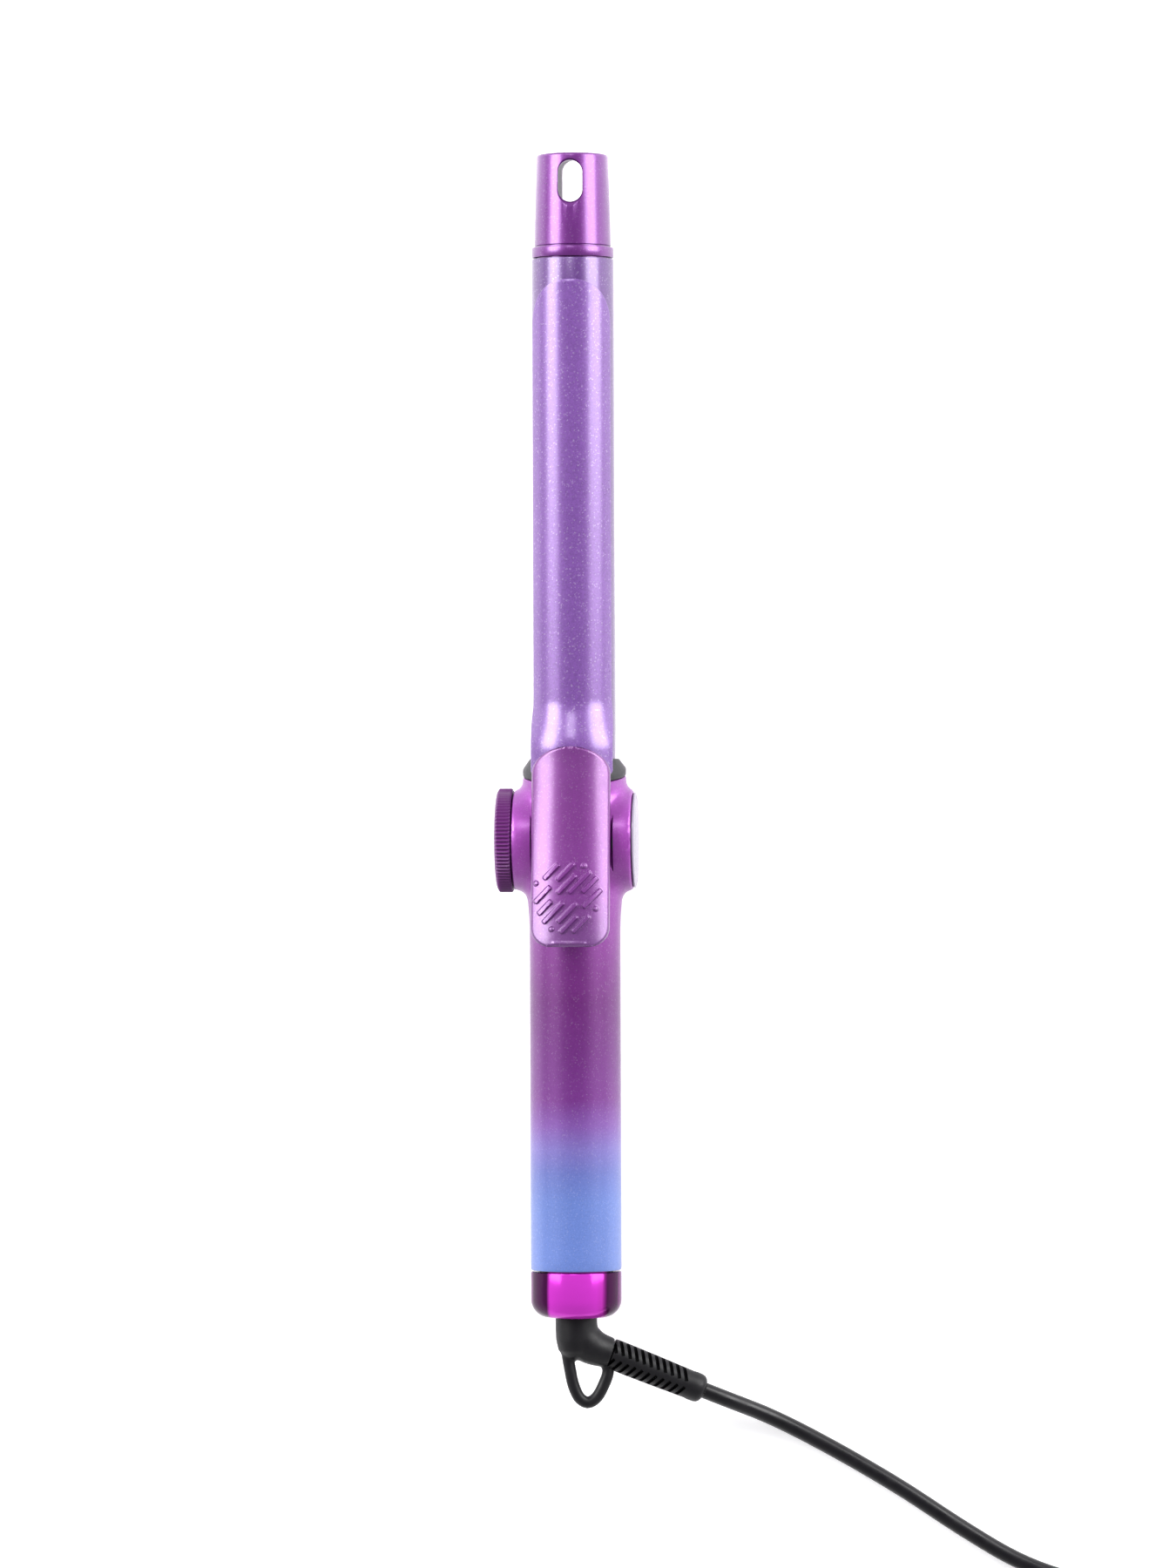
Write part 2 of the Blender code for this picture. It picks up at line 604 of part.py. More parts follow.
dial = add("temp_dial", closed_grid(rows, wrap_v=True, cap=True), "plum", "dial", sharp=60)
boolean(dial, add("dial_bore_cut", rod(-23.0, -17.0, 3.1, "X", 16, c=0.01), None, "dial", cutter=True))

# ---------------------------------------------------------------- electronics in the handle
add("control_board", box((-9.2, -111.0, -2.6), (9.2, -38.0, -1.0)), "board")
add("triac", box((-5.0, -62.0, -0.65), (5.0, -46.0, 3.6), 0.4), "chip")
add("film_capacitor", box((-7.5, -84.0, -0.65), (7.5, -69.0, 6.2), 0.6, 1), "film")
add("microcontroller", box((-4.0, -96.0, -0.65), (4.0, -88.0, 0.7), 0.15), "chip")
add("board_fuse", rod(-109.0, -99.5, 2.2, n=12, at=(0, 0, 1.7), c=0.5), "ceramic")

wires = {
    "heater_lead_live": ("red", [(5.4, -45.0, -4.6), (5.4, -30.0, -5.6), (5.0, -10.0, -6.8), (4.0, 10.0, -6.4), (3.2, 27.0, -4.0), (3.2, 46.0, -1.6), (3.2, 54.6, -1.2)], 0.85),
    "heater_lead_neutral": ("blue", [(-5.4, -45.0, -4.6), (-5.4, -30.0, -5.6), (-5.0, -10.0, -6.8), (-4.0, 10.0, -6.4), (-3.2, 27.0, -4.0), (-3.2, 46.0, -1.6), (-3.2, 54.6, -1.2)], 0.85),
    "mains_lead_live": ("red", [(2.6, -119.8, 5.2), (4.6, -116.0, 5.4), (5.4, -112.0, 2.4), (5.4, -108.0, 0.6), (5.4, -103.0, 0.4)], 0.85),
    "mains_lead_neutral": ("blue", [(-2.6, -119.8, 5.2), (-4.6, -116.0, 5.4), (-5.4, -112.0, 2.4), (-5.4, -108.0, 0.6), (-5.4, -103.0, 0.4)], 0.85),
}
for name, (mat, route, r) in wires.items():
    add(name, swept(spline(route, 7.0), r, 6), mat)

# ---------------------------------------------------------------- end cap and swivel
add(
    "end_cap",
    ring(
        [
            (-126.5, 10.4), (-126.5, 11.55), (Y_SEAM - 0.29, 11.55), (Y_SEAM - 0.3, R_HANDLE), (-142.2, R_HANDLE),
            *[(-142.2 - 5.6 * math.sin(a), R_HANDLE - 5.6 + 5.6 * math.cos(a)) for a in np.linspace(0.4, 1.35, 3)],
            (Y_CAP_END, 6.9), (-145.3, 6.9), (-145.3, 8.9), (-143.4, 10.4),
        ],
        n=28,
    ),
    "magenta",
)
add("contact_holder", ring([(-141.2, 8.2), (-141.2, 9.9), (-121.0, 9.9), (-121.0, 1.6), (-122.6, 1.6), (-122.6, 8.2)], n=24), "ceramic")
for name, y in (("brush_live", -138.0), ("brush_neutral", -129.0)):
    add(name, box((5.95, y - 1.4, -1.5), (7.75, y + 1.4, 1.5), 0.2), "copper")
for name, y in (("slip_ring_live", -138.0), ("slip_ring_neutral", -129.0)):
    add(name, ring([(y - 2.2, 4.3), (y - 2.2, 5.6), (y + 2.2, 5.6), (y + 2.2, 4.3)], n=20), "brass", "swivel")


def boot_point(s, across=0.0, up=0.0):
    """A point on the boot's own axis system: s along it from the elbow's centre."""
    return Vector((s * math.cos(BOOT_ANGLE) - across * math.sin(BOOT_ANGLE), ELBOW_Y + s * math.sin(BOOT_ANGLE) + across * math.cos(BOOT_ANGLE), up))


neck = add(
    "swivel_elbow",
    turned(
        [
            (-123.4, 3.6), (-123.9, 4.0), (-142.6, 4.0), (-142.7, 8.4), (-144.6, 8.4), (-144.8, 6.5), (-152.0, 6.5), (-156.0, 6.2), (-159.0, 5.0), (-160.8, 2.6), (-161.2, 0.8),
        ],
        n=20,
    ),
    "black",
    "swivel",
)
elbow = swept([boot_point(s) for s in (-3.0, 0.0, 8.0, 11.3)], [4.4, 5.0, 5.0, 4.7], 14)
boolean(neck, add("elbow_join", elbow, None, "swivel", cutter=True), "UNION")
LOOP = [(-4.9, -156.0), (-4.2, -163.0), (-2.6, -169.6), (1.2, -174.0), (4.4, -173.6), (7.3, -169.4), (8.2, -166.2), (6.0, -162.2)]
loop = swept(spline([(x, y, 0.0) for x, y in LOOP], 3.2), 1.85, 8)
boolean(neck, add("loop_join", loop, None, "swivel", cutter=True), "UNION")

s0, s1 = BOOT_S
boot_rows = []
for s, r in ((s0, 4.75), (s0 + 10, 4.75), (s1 - 2.2, 4.25), (s1 - 0.7, 3.9), (s1, 3.1)):
    boot_rows.append([boot_point(s, r * math.cos(a), r * math.sin(a)) for a in (2 * math.pi * k / 16 for k in range(16))])
add("strain_relief", closed_grid(boot_rows, wrap_v=True, cap=True), "black", "swivel")

# ---------------------------------------------------------------- stand
py, pz = STAND_PIN
arm = [(py + 2.4 * math.cos(a), pz + 2.4 * math.sin(a)) for a in np.linspace(math.radians(-75), math.radians(-285) , 9)]
arm += [(12.6, -13.2), (17.0, -16.8), (24.0, -16.8), (24.0, -20.0), (16.2, -20.0), (12.4, -18.2)]
stand = add("stand", prism(arm, -5.9, 5.9, "X"), "charcoal", "stand")
foot = [(-5.9, 21.0), (-11.5, 31.0), (-11.5, 70.0), (-10.0, 74.2), (-6.0, STAND_END), (6.0, STAND_END), (10.0, 74.2), (11.5, 70.0), (11.5, 31.0), (5.9, 21.0)]
boolean(stand, add("stand_foot_join", prism(foot, -20.0, -16.8, "Z"), None, "stand", cutter=True), "UNION")
boolean(stand, add("stand_bore_cut", rod(-9, 9, 1.05, "X", 12, (0, *STAND_PIN), c=0.01), None, "stand", cutter=True))
add("stand_pin", rod(-7.3, 7.3, 0.8, "X", 10, (0, *STAND_PIN), c=0.1), "steel")

# ---------------------------------------------------------------- cord, coil, tie and plug, in the iron's frame
def rolled(p):
    """Where a point of the swivel, drawn flat, lies once it has rolled towards the floor."""
    q = TURN @ Vector((p[0], 0, p[2]))
    return Vector((q.x, p[1], q.z))


boot_end, boot_dir = rolled(boot_point(s1 + 0.3)), (rolled(boot_point(1.0)) - rolled(boot_point(0.0))).normalized()
FLOOR = -AXIS_H + CORD_R + 0.1
CX, CY = COIL_C
cord_knots = [
    boot_end,
    boot_end + boot_dir * 9.0,
    Vector((58.5, -179.4, -15.6)),
    Vector((77.0, -188.9, FLOOR)),
    Vector((100.0, -202.2, FLOOR)),
    Vector((119.0, -216.6, FLOOR)),
    Vector((137.0, -227.4, FLOOR)),
    Vector((CX + 41.0 * math.cos(math.radians(108)), CY + 41.0 * math.sin(math.radians(108)), FLOOR)),
]


def curve_tube(name, points, mat):
    data = bpy.data.curves.new(name, "CURVE")
    data.dimensions = "3D"
    data.bevel_depth = CORD_R * MM
    data.bevel_resolution = 2
    data.use_fill_caps = True
    line = data.splines.new("POLY")
    line.points.add(len(points) - 1)
    for point, p in zip(line.points, points):
        point.co = (*(p * MM), 1)
    data.materials.append(material(mat, *M[mat]))
    made = bpy.data.objects.new(name, data)
    bpy.context.scene.collection.objects.link(made)
    made.parent = IRON
    return made


curve_tube("cord_lead", spline(cord_knots, 7.0), "cord")

coil = add("cord_coil", ring([(-AXIS_H + 0.1, COIL_R[0]), (-AXIS_H + 0.1, COIL_R[1]), (-AXIS_H + COIL_TOP, COIL_R[1] - 0.0), (-AXIS_H + COIL_TOP, COIL_R[0])], "Z", 36, (CX, CY, 0)), "cord")
TIE_X = (COIL_R[0] + COIL_R[1]) / 2
half_w, half_h = (COIL_R[1] - COIL_R[0]) / 2, COIL_TOP / 2


def frame_section(grow_out, grow_in, y0, y1):
    """A rectangular band round the coil's section at its +X side."""
    mid_z = -AXIS_H + 0.1 + half_h
    rows = []
    for y, grow in ((y0, grow_out), (y1, grow_out), (y1, grow_in), (y0, grow_in)):
        w, h = half_w + grow, half_h + grow
        rows.append([Vector((CX + TIE_X + sx * w, CY + y, mid_z + sz * h)) for sx, sz in ((-1, -1), (1, -1), (1, 1), (-1, 1))])
    return closed_grid(rows, wrap_u=True, wrap_v=True)


boolean(coil, add("tie_groove_cut", frame_section(3.0, -1.5, -6.4, 6.4), None, cutter=True))
add("cord_tie", frame_section(-0.15, -1.15, -6.0, 6.0), "black")

PLUG_AT = Vector((CX - 44.0, CY - 39.0, FLOOR + 3.0))
PLUG_DIR = Vector((-0.985, 0.174, 0)).normalized()
tail = [Vector((CX - 10.0, CY - 39.8, FLOOR)), Vector((CX - 24.0, CY - 42.0, FLOOR + 0.5)), PLUG_AT - PLUG_DIR * 8.0, PLUG_AT]
curve_tube("cord_tail", spline(tail, 5.0), "cord")
side = Vector((-PLUG_DIR.y, PLUG_DIR.x, 0))


def plug_block(sections):
    """A lofted block along the plug's axis from (distance, half width, half height, corner) sections."""
    rows = []
    for s, w, h, c in sections:
        outline = []
        for sx, sz in ((1, 1), (-1, 1), (-1, -1), (1, -1)):
            for k in range(3):
                a = math.pi / 4 * k + {(1, 1): 0, (-1, 1): math.pi / 2, (-1, -1): math.pi, (1, -1): 1.5 * math.pi}[(sx, sz)]
                outline.append((sx * (w - c) + c * math.cos(a), sz * (h - c) + c * math.sin(a)))
        rows.append([PLUG_AT + PLUG_DIR * s + side * u + Vector((0, 0, v)) for u, v in outline])
    return closed_grid(rows, wrap_v=True, cap=True)


add("plug_body", plug_block([(0.4, 3.0, 3.0, 2.0), (10.0, 3.6, 3.6, 2.2), (14.0, 7.0, 4.8, 2.4), (20.0, 9.6, 5.3, 2.4), (34.0, 10.6, 5.5, 2.4), (35.0, 10.4, 5.3, 2.4)]), "black")
for name, offset in (("plug_pin_1", -6.35), ("plug_pin_2", 6.35)):
    rows = []
    for s, w, h in ((35.3, 0.75, 3.15), (50.5, 0.75, 3.15), (51.8, 0.5, 2.2)):
        rows.append([PLUG_AT + PLUG_DIR * s + side * (offset + sx * w) + Vector((0, 0, sz * h)) for sx, sz in ((-1, -1), (1, -1), (1, 1), (-1, 1))])
    add(name, closed_grid(rows, wrap_v=True, cap=True), "brass")
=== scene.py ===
import math

import bmesh
import bpy
import numpy as np
from mathutils import Matrix, Vector


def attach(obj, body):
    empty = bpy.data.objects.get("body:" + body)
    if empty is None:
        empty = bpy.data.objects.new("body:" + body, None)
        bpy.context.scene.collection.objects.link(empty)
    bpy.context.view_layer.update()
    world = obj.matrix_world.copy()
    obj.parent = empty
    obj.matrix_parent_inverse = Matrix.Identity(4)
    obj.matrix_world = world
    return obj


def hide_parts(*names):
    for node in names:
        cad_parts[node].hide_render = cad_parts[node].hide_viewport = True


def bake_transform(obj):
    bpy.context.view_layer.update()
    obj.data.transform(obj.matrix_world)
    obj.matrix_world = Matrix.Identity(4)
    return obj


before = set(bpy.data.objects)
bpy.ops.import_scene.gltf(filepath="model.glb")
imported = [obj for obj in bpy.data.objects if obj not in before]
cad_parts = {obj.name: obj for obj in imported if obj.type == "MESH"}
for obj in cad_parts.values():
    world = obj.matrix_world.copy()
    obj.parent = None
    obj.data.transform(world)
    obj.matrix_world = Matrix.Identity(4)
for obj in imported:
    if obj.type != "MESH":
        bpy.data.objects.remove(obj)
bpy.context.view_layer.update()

# The iron's own frame is in millimetres: Y along its axis with the tip at +Y, Y = 0 in the middle of
# the cross hub, Z up. SHIFT puts it on its folded stand, with the floor at world Z = 0.
MM = 0.001
SHIFT = Vector((0.0, -46.0, 20.0))
R_BARREL = 12.7
PIVOT = Vector((0.0, 11.0, 8.5))
ROLL = math.radians(12.0)
ELBOW_Y = -154.8
BOOT_ANGLE = math.radians(-22.2)
CORD_R = 2.5
FLOOR = -20.0 + CORD_R + 0.1
CX, CY = 166.0, -272.5
SCENE = bpy.context.scene


# ------------------------------------------------------------------ small tools
def W(p):
    """A point of the iron's frame, in the row frame's metres."""
    return (Vector(p) + SHIFT) * MM


def smooth(t):
    t = np.clip(t, 0.0, 1.0)
    return t * t * (3 - 2 * t)


def srgb(r, g, b):
    def lin(c):
        c /= 255.0
        return c / 12.92 if c <= 0.04045 else ((c + 0.055) / 1.055) ** 2.4
    return (lin(r), lin(g), lin(b), 1.0)


def closed_grid(rows, wrap_u=False, wrap_v=False, cap=False):
    bm = bmesh.new()
    verts = [[bm.verts.new(p) for p in row] for row in rows]
    nu, nv = len(verts), len(verts[0])
    for i in range(nu if wrap_u else nu - 1):
        for j in range(nv if wrap_v else nv - 1):
            quad = [verts[i][j], verts[i][(j + 1) % nv], verts[(i + 1) % nu][(j + 1) % nv], verts[(i + 1) % nu][j]]
            quad = list(dict.fromkeys(quad))
            if len(quad) > 2:
                bm.faces.new(quad)
    if cap:
        bm.faces.new(verts[0][::-1])
        bm.faces.new(verts[-1])
    bmesh.ops.recalc_face_normals(bm, faces=bm.faces)
    return bm


def turned(profile, axis="Y", n=96, at=(0, 0, 0), cap=True):
    at = Vector(at)
    rows = []
    for along, radius in profile:
        row = []
        for k in range(n):
            a = 2 * math.pi * k / n
            c, s = radius * math.cos(a), radius * math.sin(a)
            row.append(at + Vector({"Y": (c, along, s), "X": (along, c, s), "Z": (c, s, along)}[axis]))
        rows.append(row)
    return closed_grid(rows, wrap_v=True, cap=True) if cap else closed_grid(rows, wrap_u=True, wrap_v=True)


def ring(profile, axis="Y", n=96, at=(0, 0, 0)):
    return turned(profile, axis, n, at, cap=False)


def rod(y0, y1, r, axis="Y", n=32, at=(0, 0, 0), c=0.2):
    return turned([(y0, r - c), (y0 + c, r), (y1 - c, r), (y1, r - c)], axis, n, at)


def rounded(profile, radius, steps=4, closed=True):
    """The profile with every corner replaced by an arc; radius is one number or one for each corner."""
    out, n = [], len(profile)
    pts = [Vector(p) for p in profile]
    for i, p in enumerate(pts):
        r = radius[i] if isinstance(radius, (list, tuple)) else radius
        if r <= 0 or (not closed and i in (0, n - 1)):
            out.append(tuple(p))
            continue
        a, b = pts[i - 1] - p, pts[(i + 1) % n] - p
        la, lb = a.length, b.length
        a, b = a / la, b / lb
        half = math.acos(max(-1, min(1, a.dot(b)))) / 2
        if half > math.pi / 2 - 0.02:
            out.append(tuple(p))
            continue
        cut = min(r / math.tan(half), 0.48 * la, 0.48 * lb)
        q = [p + a * cut, p + b * cut]
        for k in range(steps + 1):
            t = k / steps
            out.append(tuple(q[0] * (1 - t) ** 2 + p * 2 * t * (1 - t) + q[1] * t * t))
    return out


def box(lo, hi, bevel=0.0, segments=2):
    bm = bmesh.new()
    bmesh.ops.create_cube(bm, size=1)
    lo, hi = Vector(lo), Vector(hi)
    bmesh.ops.scale(bm, vec=hi - lo, verts=bm.verts)
    bmesh.ops.translate(bm, vec=(lo + hi) / 2, verts=bm.verts)
    if bevel:
        bmesh.ops.bevel(bm, geom=list(bm.edges), offset=bevel, segments=segments, affect="EDGES", profile=0.5)
    return bm


def prism(outline, lo, hi, axis="X"):
    def point(a, b, t):
        return {"X": (t, a, b), "Z": (a, b, t), "Y": (a, t, b)}[axis]

    return closed_grid([[point(a, b, lo) for a, b in outline], [point(a, b, hi) for a, b in outline]], wrap_v=True, cap=True)


def joined(*parts):
    whole = bmesh.new()
    for part in parts:
        mesh = bpy.data.meshes.new("part")
        part.to_mesh(mesh)
        part.free()
        whole.from_mesh(mesh)
        bpy.data.meshes.remove(mesh)
    return whole


def frames(points):
    """Tangent, side and up at each point, turning as little as possible."""
    points = [Vector(p) for p in points]
    out, side = [], None
    for i, p in enumerate(points):
        t = (points[min(i + 1, len(points) - 1)] - points[max(i - 1, 0)]).normalized()
        if side is None:
            side = Vector((0, 0, 1)).cross(t)
            side = side.normalized() if side.length > 1e-6 else Vector((1, 0, 0))
        side = (side - t * side.dot(t)).normalized()
        out.append((t, side, t.cross(side)))
    return out


def swept(points, r, n=16, cap=True):
    rows = []
    for i, (p, (t, side, up)) in enumerate(zip(points, frames(points))):
        radius = r[i] if isinstance(r, (list, tuple)) else r
        rows.append([Vector(p) + (side * math.cos(a) + up * math.sin(a)) * radius for a in (2 * math.pi * k / n for k in range(n))])
    return closed_grid(rows, wrap_v=True, cap=cap)


def spline(knots, step):
    knots = [Vector(k) for k in knots]
    ends = [2 * knots[0] - knots[1], *knots, 2 * knots[-1] - knots[-2]]
    fine = []
    for i in range(1, len(ends) - 2):
        p = ends[i - 1 : i + 3]
        t = [0.0]
        for a, b in zip(p, p[1:]):
            t.append(t[-1] + math.sqrt((b - a).length))
        for k in range(40):
            u = t[1] + (t[2] - t[1]) * k / 40
            def mix(a, b, ta, tb):
                return a * ((tb - u) / (tb - ta)) + b * ((u - ta) / (tb - ta))
            a = [mix(p[j], p[j + 1], t[j], t[j + 1]) for j in range(3)]
            b = [mix(a[0], a[1], t[0], t[2]), mix(a[1], a[2], t[1], t[3])]
            fine.append(mix(b[0], b[1], t[1], t[2]))
    fine.append(knots[-1])
    run = np.cumsum([0.0] + [(b - a).length for a, b in zip(fine, fine[1:])])
    count = max(2, round(run[-1] / step))
    at = np.linspace(0, run[-1], count + 1)
    xyz = [np.interp(at, run, [p[k] for p in fine]) for k in range(3)]
    return [Vector(p) for p in zip(*xyz)]


def new_object(name, bm, turn=None, triangles=False):
    """An object from a bmesh in the iron's millimetres; turn rolls it about the swivel's axis first."""
    if triangles:
        bmesh.ops.triangulate(bm, faces=list(bm.faces))
    if turn is not None:
        at = Vector((0, ELBOW_Y, 0))
        bmesh.ops.translate(bm, vec=-at, verts=bm.verts)
        bmesh.ops.transform(bm, matrix=turn, verts=bm.verts)
        bmesh.ops.translate(bm, vec=at, verts=bm.verts)
    bmesh.ops.translate(bm, vec=SHIFT, verts=bm.verts)
    bmesh.ops.scale(bm, vec=(MM, MM, MM), verts=bm.verts)
    mesh = bpy.data.meshes.new(name)
    bm.to_mesh(mesh)
    bm.free()
    made = bpy.data.objects.new(name, mesh)
    SCENE.collection.objects.link(made)
    return made


def bake_modifiers(obj):
    """Replaces the mesh by what its modifiers make of it."""
    bpy.context.view_layer.update()
    graph = bpy.context.evaluated_depsgraph_get()
    mesh = bpy.data.meshes.new_from_object(obj.evaluated_get(graph))
    old = obj.data
    obj.modifiers.clear()
    obj.data = mesh
    mesh.name = obj.name
    bpy.data.meshes.remove(old)


def cut(obj, cutters, how="DIFFERENCE", turn=None):
    """Boolean of the object with each bmesh, applied."""
    helpers = []
    for k, bm in enumerate(cutters):
        operation = how
        if isinstance(bm, tuple):
            operation, bm = bm
        helper = new_object(f"{obj.name}_cut_{k}", bm, turn, triangles=True)
        helpers.append(helper)
        made = obj.modifiers.new("cut", "BOOLEAN")
        made.operation, made.object, made.solver = operation, helper, "EXACT"
    bake_modifiers(obj)
    for helper in helpers:
        mesh = helper.data
        bpy.data.objects.remove(helper)
        bpy.data.meshes.remove(mesh)
    return obj


def finish(obj, mat, sharp=32.0):
    obj.data.materials.clear()
    obj.data.materials.append(mat)
    bm = bmesh.new()
    bm.from_mesh(obj.data)
    bmesh.ops.remove_doubles(bm, verts=bm.verts, dist=1e-7)
    bmesh.ops.dissolve_degenerate(bm, edges=bm.edges, dist=1e-7)
    loose = [v for v in bm.verts if not v.link_faces]
    bmesh.ops.delete(bm, geom=loose, context="VERTS")
    bm.to_mesh(obj.data)
    bm.free()
    obj.data.shade_smooth()
    obj.data.set_sharp_from_angle(angle=math.radians(sharp))
    return obj


def piece(name, obj, mat, body, nodes, sharp=32.0):
    obj.name = name
    finish(obj, mat, sharp)
    if body:
        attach(obj, body)
    if nodes:
        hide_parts(*nodes)
    return obj


# ------------------------------------------------------------------ camera: seen square on, from a little to the right
SWING, LEAN = math.radians(3.9), math.radians(0.2)
CENTRE = W((4.2, 17.4, 0.0))
back = Vector((math.sin(SWING), 0, math.cos(SWING)))
right0 = Vector((math.cos(SWING), 0, -math.sin(SWING)))
up0 = Vector((0, 1, 0))
right = right0 * math.cos(LEAN) - up0 * math.sin(LEAN)
up = right0 * math.sin(LEAN) + up0 * math.cos(LEAN)
DIST = 2.219
data = bpy.data.cameras.new("camera")
data.sensor_fit = "VERTICAL"
data.sensor_height = 24.0
data.lens = 24.0 / 2 / math.tan(math.atan(0.243 / DIST))
data.clip_start, data.clip_end = 0.05, 60.0
camera = bpy.data.objects.new("camera", data)
SCENE.collection.objects.link(camera)
camera.matrix_world = Matrix(
    [
        [right.x, up.x, back.x, CENTRE.x + back.x * DIST],
        [right.y, up.y, back.y, CENTRE.y + back.y * DIST],
        [right.z, up.z, back.z, CENTRE.z + back.z * DIST],
        [0, 0, 0, 1],
    ]
)
SCENE.camera = camera
SCENE.view_settings.view_transform = "Standard"
SCENE.view_settings.look = "None"
SCENE.view_settings.exposure = 0.0
SCENE.view_settings.gamma = 1.0


# ------------------------------------------------------------------ materials
class Nodes:
    """A short way to write a material's nodes."""

    def __init__(self, name):
        self.mat = bpy.data.materials.new(name)
        self.mat.use_nodes = True
        self.tree = self.mat.node_tree
        self.shader = self.tree.nodes["Principled BSDF"]
        self.where = self.add("ShaderNodeTexCoord").outputs["Object"]

    def add(self, kind, **inputs):
        node = self.tree.nodes.new(kind)
        for key, value in inputs.items():
            key = key.replace("_", " ")
            self.put(node.inputs[key], value)
        return node

    def put(self, socket, value):
        if isinstance(value, bpy.types.NodeSocket):
            self.tree.links.new(value, socket)
        else:
            socket.default_value = value

    def noise(self, scale, detail=3.0, rough=0.5, at=None):
        n = self.add("ShaderNodeTexNoise", Vector=at or self.where, Scale=scale, Detail=detail, Roughness=rough)
        return n.outputs["Fac"]

    def cells(self, scale, feature="F1", out="Color", at=None):
        n = self.add("ShaderNodeTexVoronoi", Vector=at or self.where, Scale=scale)
        n.feature = feature
        return n.outputs[out]

    def span(self, value, lo, hi, to_lo, to_hi, soft=False):
        n = self.tree.nodes.new("ShaderNodeMapRange")
        if soft:
            n.interpolation_type = "SMOOTHSTEP"
        for k, v in zip(("Value", "From Min", "From Max", "To Min", "To Max"), (value, lo, hi, to_lo, to_hi)):
            self.put(n.inputs[k], v)
        return n.outputs[0]

    def math(self, op, a, b=0.0, c=0.0):
        n = self.tree.nodes.new("ShaderNodeMath")
        n.operation = op
        self.put(n.inputs[0], a)
        self.put(n.inputs[1], b)
        self.put(n.inputs[2], c)
        return n.outputs[0]

    def mix(self, fac, a, b, how="MIX"):
        n = self.tree.nodes.new("ShaderNodeMix")
        n.data_type = "RGBA"
        n.blend_type = how
        self.put(n.inputs[0], fac)
        self.put(n.inputs[6], a)
        self.put(n.inputs[7], b)
        return n.outputs[2]

    def ramp(self, fac, stops):
        n = self.tree.nodes.new("ShaderNodeValToRGB")
        ramp = n.color_ramp
        while len(ramp.elements) > 1:
            ramp.elements.remove(ramp.elements[-1])
        ramp.elements[0].position, ramp.elements[0].color = stops[0]
        for at, colour in stops[1:]:
            ramp.elements.new(at).color = colour
        self.put(n.inputs[0], fac)
        return n.outputs[0]

    def axis(self, which):
        n = self.add("ShaderNodeSeparateXYZ", Vector=self.where)
        return n.outputs[which]

    def stretched(self, sx, sy, sz):
        n = self.add("ShaderNodeMapping", Vector=self.where)
        n.inputs["Scale"].default_value = (sx, sy, sz)
        return n.outputs[0]

    def bump(self, height, distance, strength=1.0, normal=None):
        n = self.add("ShaderNodeBump", Height=height, Distance=distance, Strength=strength)
        if normal is not None:
            self.put(n.inputs["Normal"], normal)
        return n.outputs[0]

    def set(self, **inputs):
        for key, value in inputs.items():
            self.put(self.shader.inputs[key.replace("_", " ")], value)
        return self.mat


def flake_paint(name, colour_of, rough, metal, flake=2600.0, spark=0.5, tilt=0.000006, coat=0.6, coat_rough=0.08, peel=0.0000035):
    """Metallic paint: tiny flakes differ in brightness and tilt, and a few carry a painted near-white glint in the base
    colour, under a clear coat with a faint orange peel.
    """
    m = Nodes(name)
    base = colour_of(m)
    cell = m.cells(flake)
    parts = m.add("ShaderNodeSeparateColor", Color=cell)
    bright = m.span(parts.outputs[0], 0.0, 1.0, 1 - 0.22 * spark, 1 + 0.22 * spark)
    painted_glint = m.span(parts.outputs[1], 0.9, 1.0, 0.0, 0.2 * spark)
    cloud = m.span(m.noise(38.0, 3.0), 0.3, 0.7, 0.96, 1.04)
    shade = m.math("MULTIPLY", bright, cloud)
    tone = m.add("ShaderNodeVectorMath")
    tone.operation = "SCALE"
    m.put(tone.inputs[0], base)
    m.put(tone.inputs["Scale"], shade)
    # a few flakes have their base colour pushed toward near-white: a painted glint
    colour = m.mix(painted_glint, tone.outputs[0], (1.0, 0.92, 1.0, 1.0))
    rough_of = m.math("ADD", m.span(parts.outputs[2], 0, 1, rough - 0.05, rough + 0.07), m.span(m.noise(160.0, 2.0), 0.3, 0.7, -0.02, 0.02))
    normal = m.bump(parts.outputs[2], tilt, 0.6)
    coat_normal = m.bump(m.noise(900.0, 2.0), peel, 0.5)
    m.set(Base_Color=colour, Roughness=rough_of, Metallic=metal(m) if callable(metal) else metal, Normal=normal, Coat_Weight=coat, Coat_Roughness=coat_rough, Coat_Normal=coat_normal)
    return m.mat


def plain(colour):
    def colour_of(m):
        n = m.mix(m.span(m.noise(14.0, 2.0), 0.35, 0.65, 0.0, 1.0), colour, tuple(c * 0.94 for c in colour[:3]) + (1.0,))
        return n
    return colour_of


def graded(stops):
    """Colour by place along the iron: stops are (Y in the iron's frame, colour)."""
    def colour_of(m):
        y = m.axis(1)
        lo, hi = stops[0][0], stops[-1][0]
        wobble = m.span(m.noise(55.0, 2.0), 0.3, 0.7, -0.0006, 0.0006)
        fac = m.span(m.math("ADD", y, wobble), (lo - 46) * MM, (hi - 46) * MM, 0.0, 1.0)
        return m.ramp(fac, [((s - lo) / (hi - lo), c) for s, c in stops])
    return colour_of


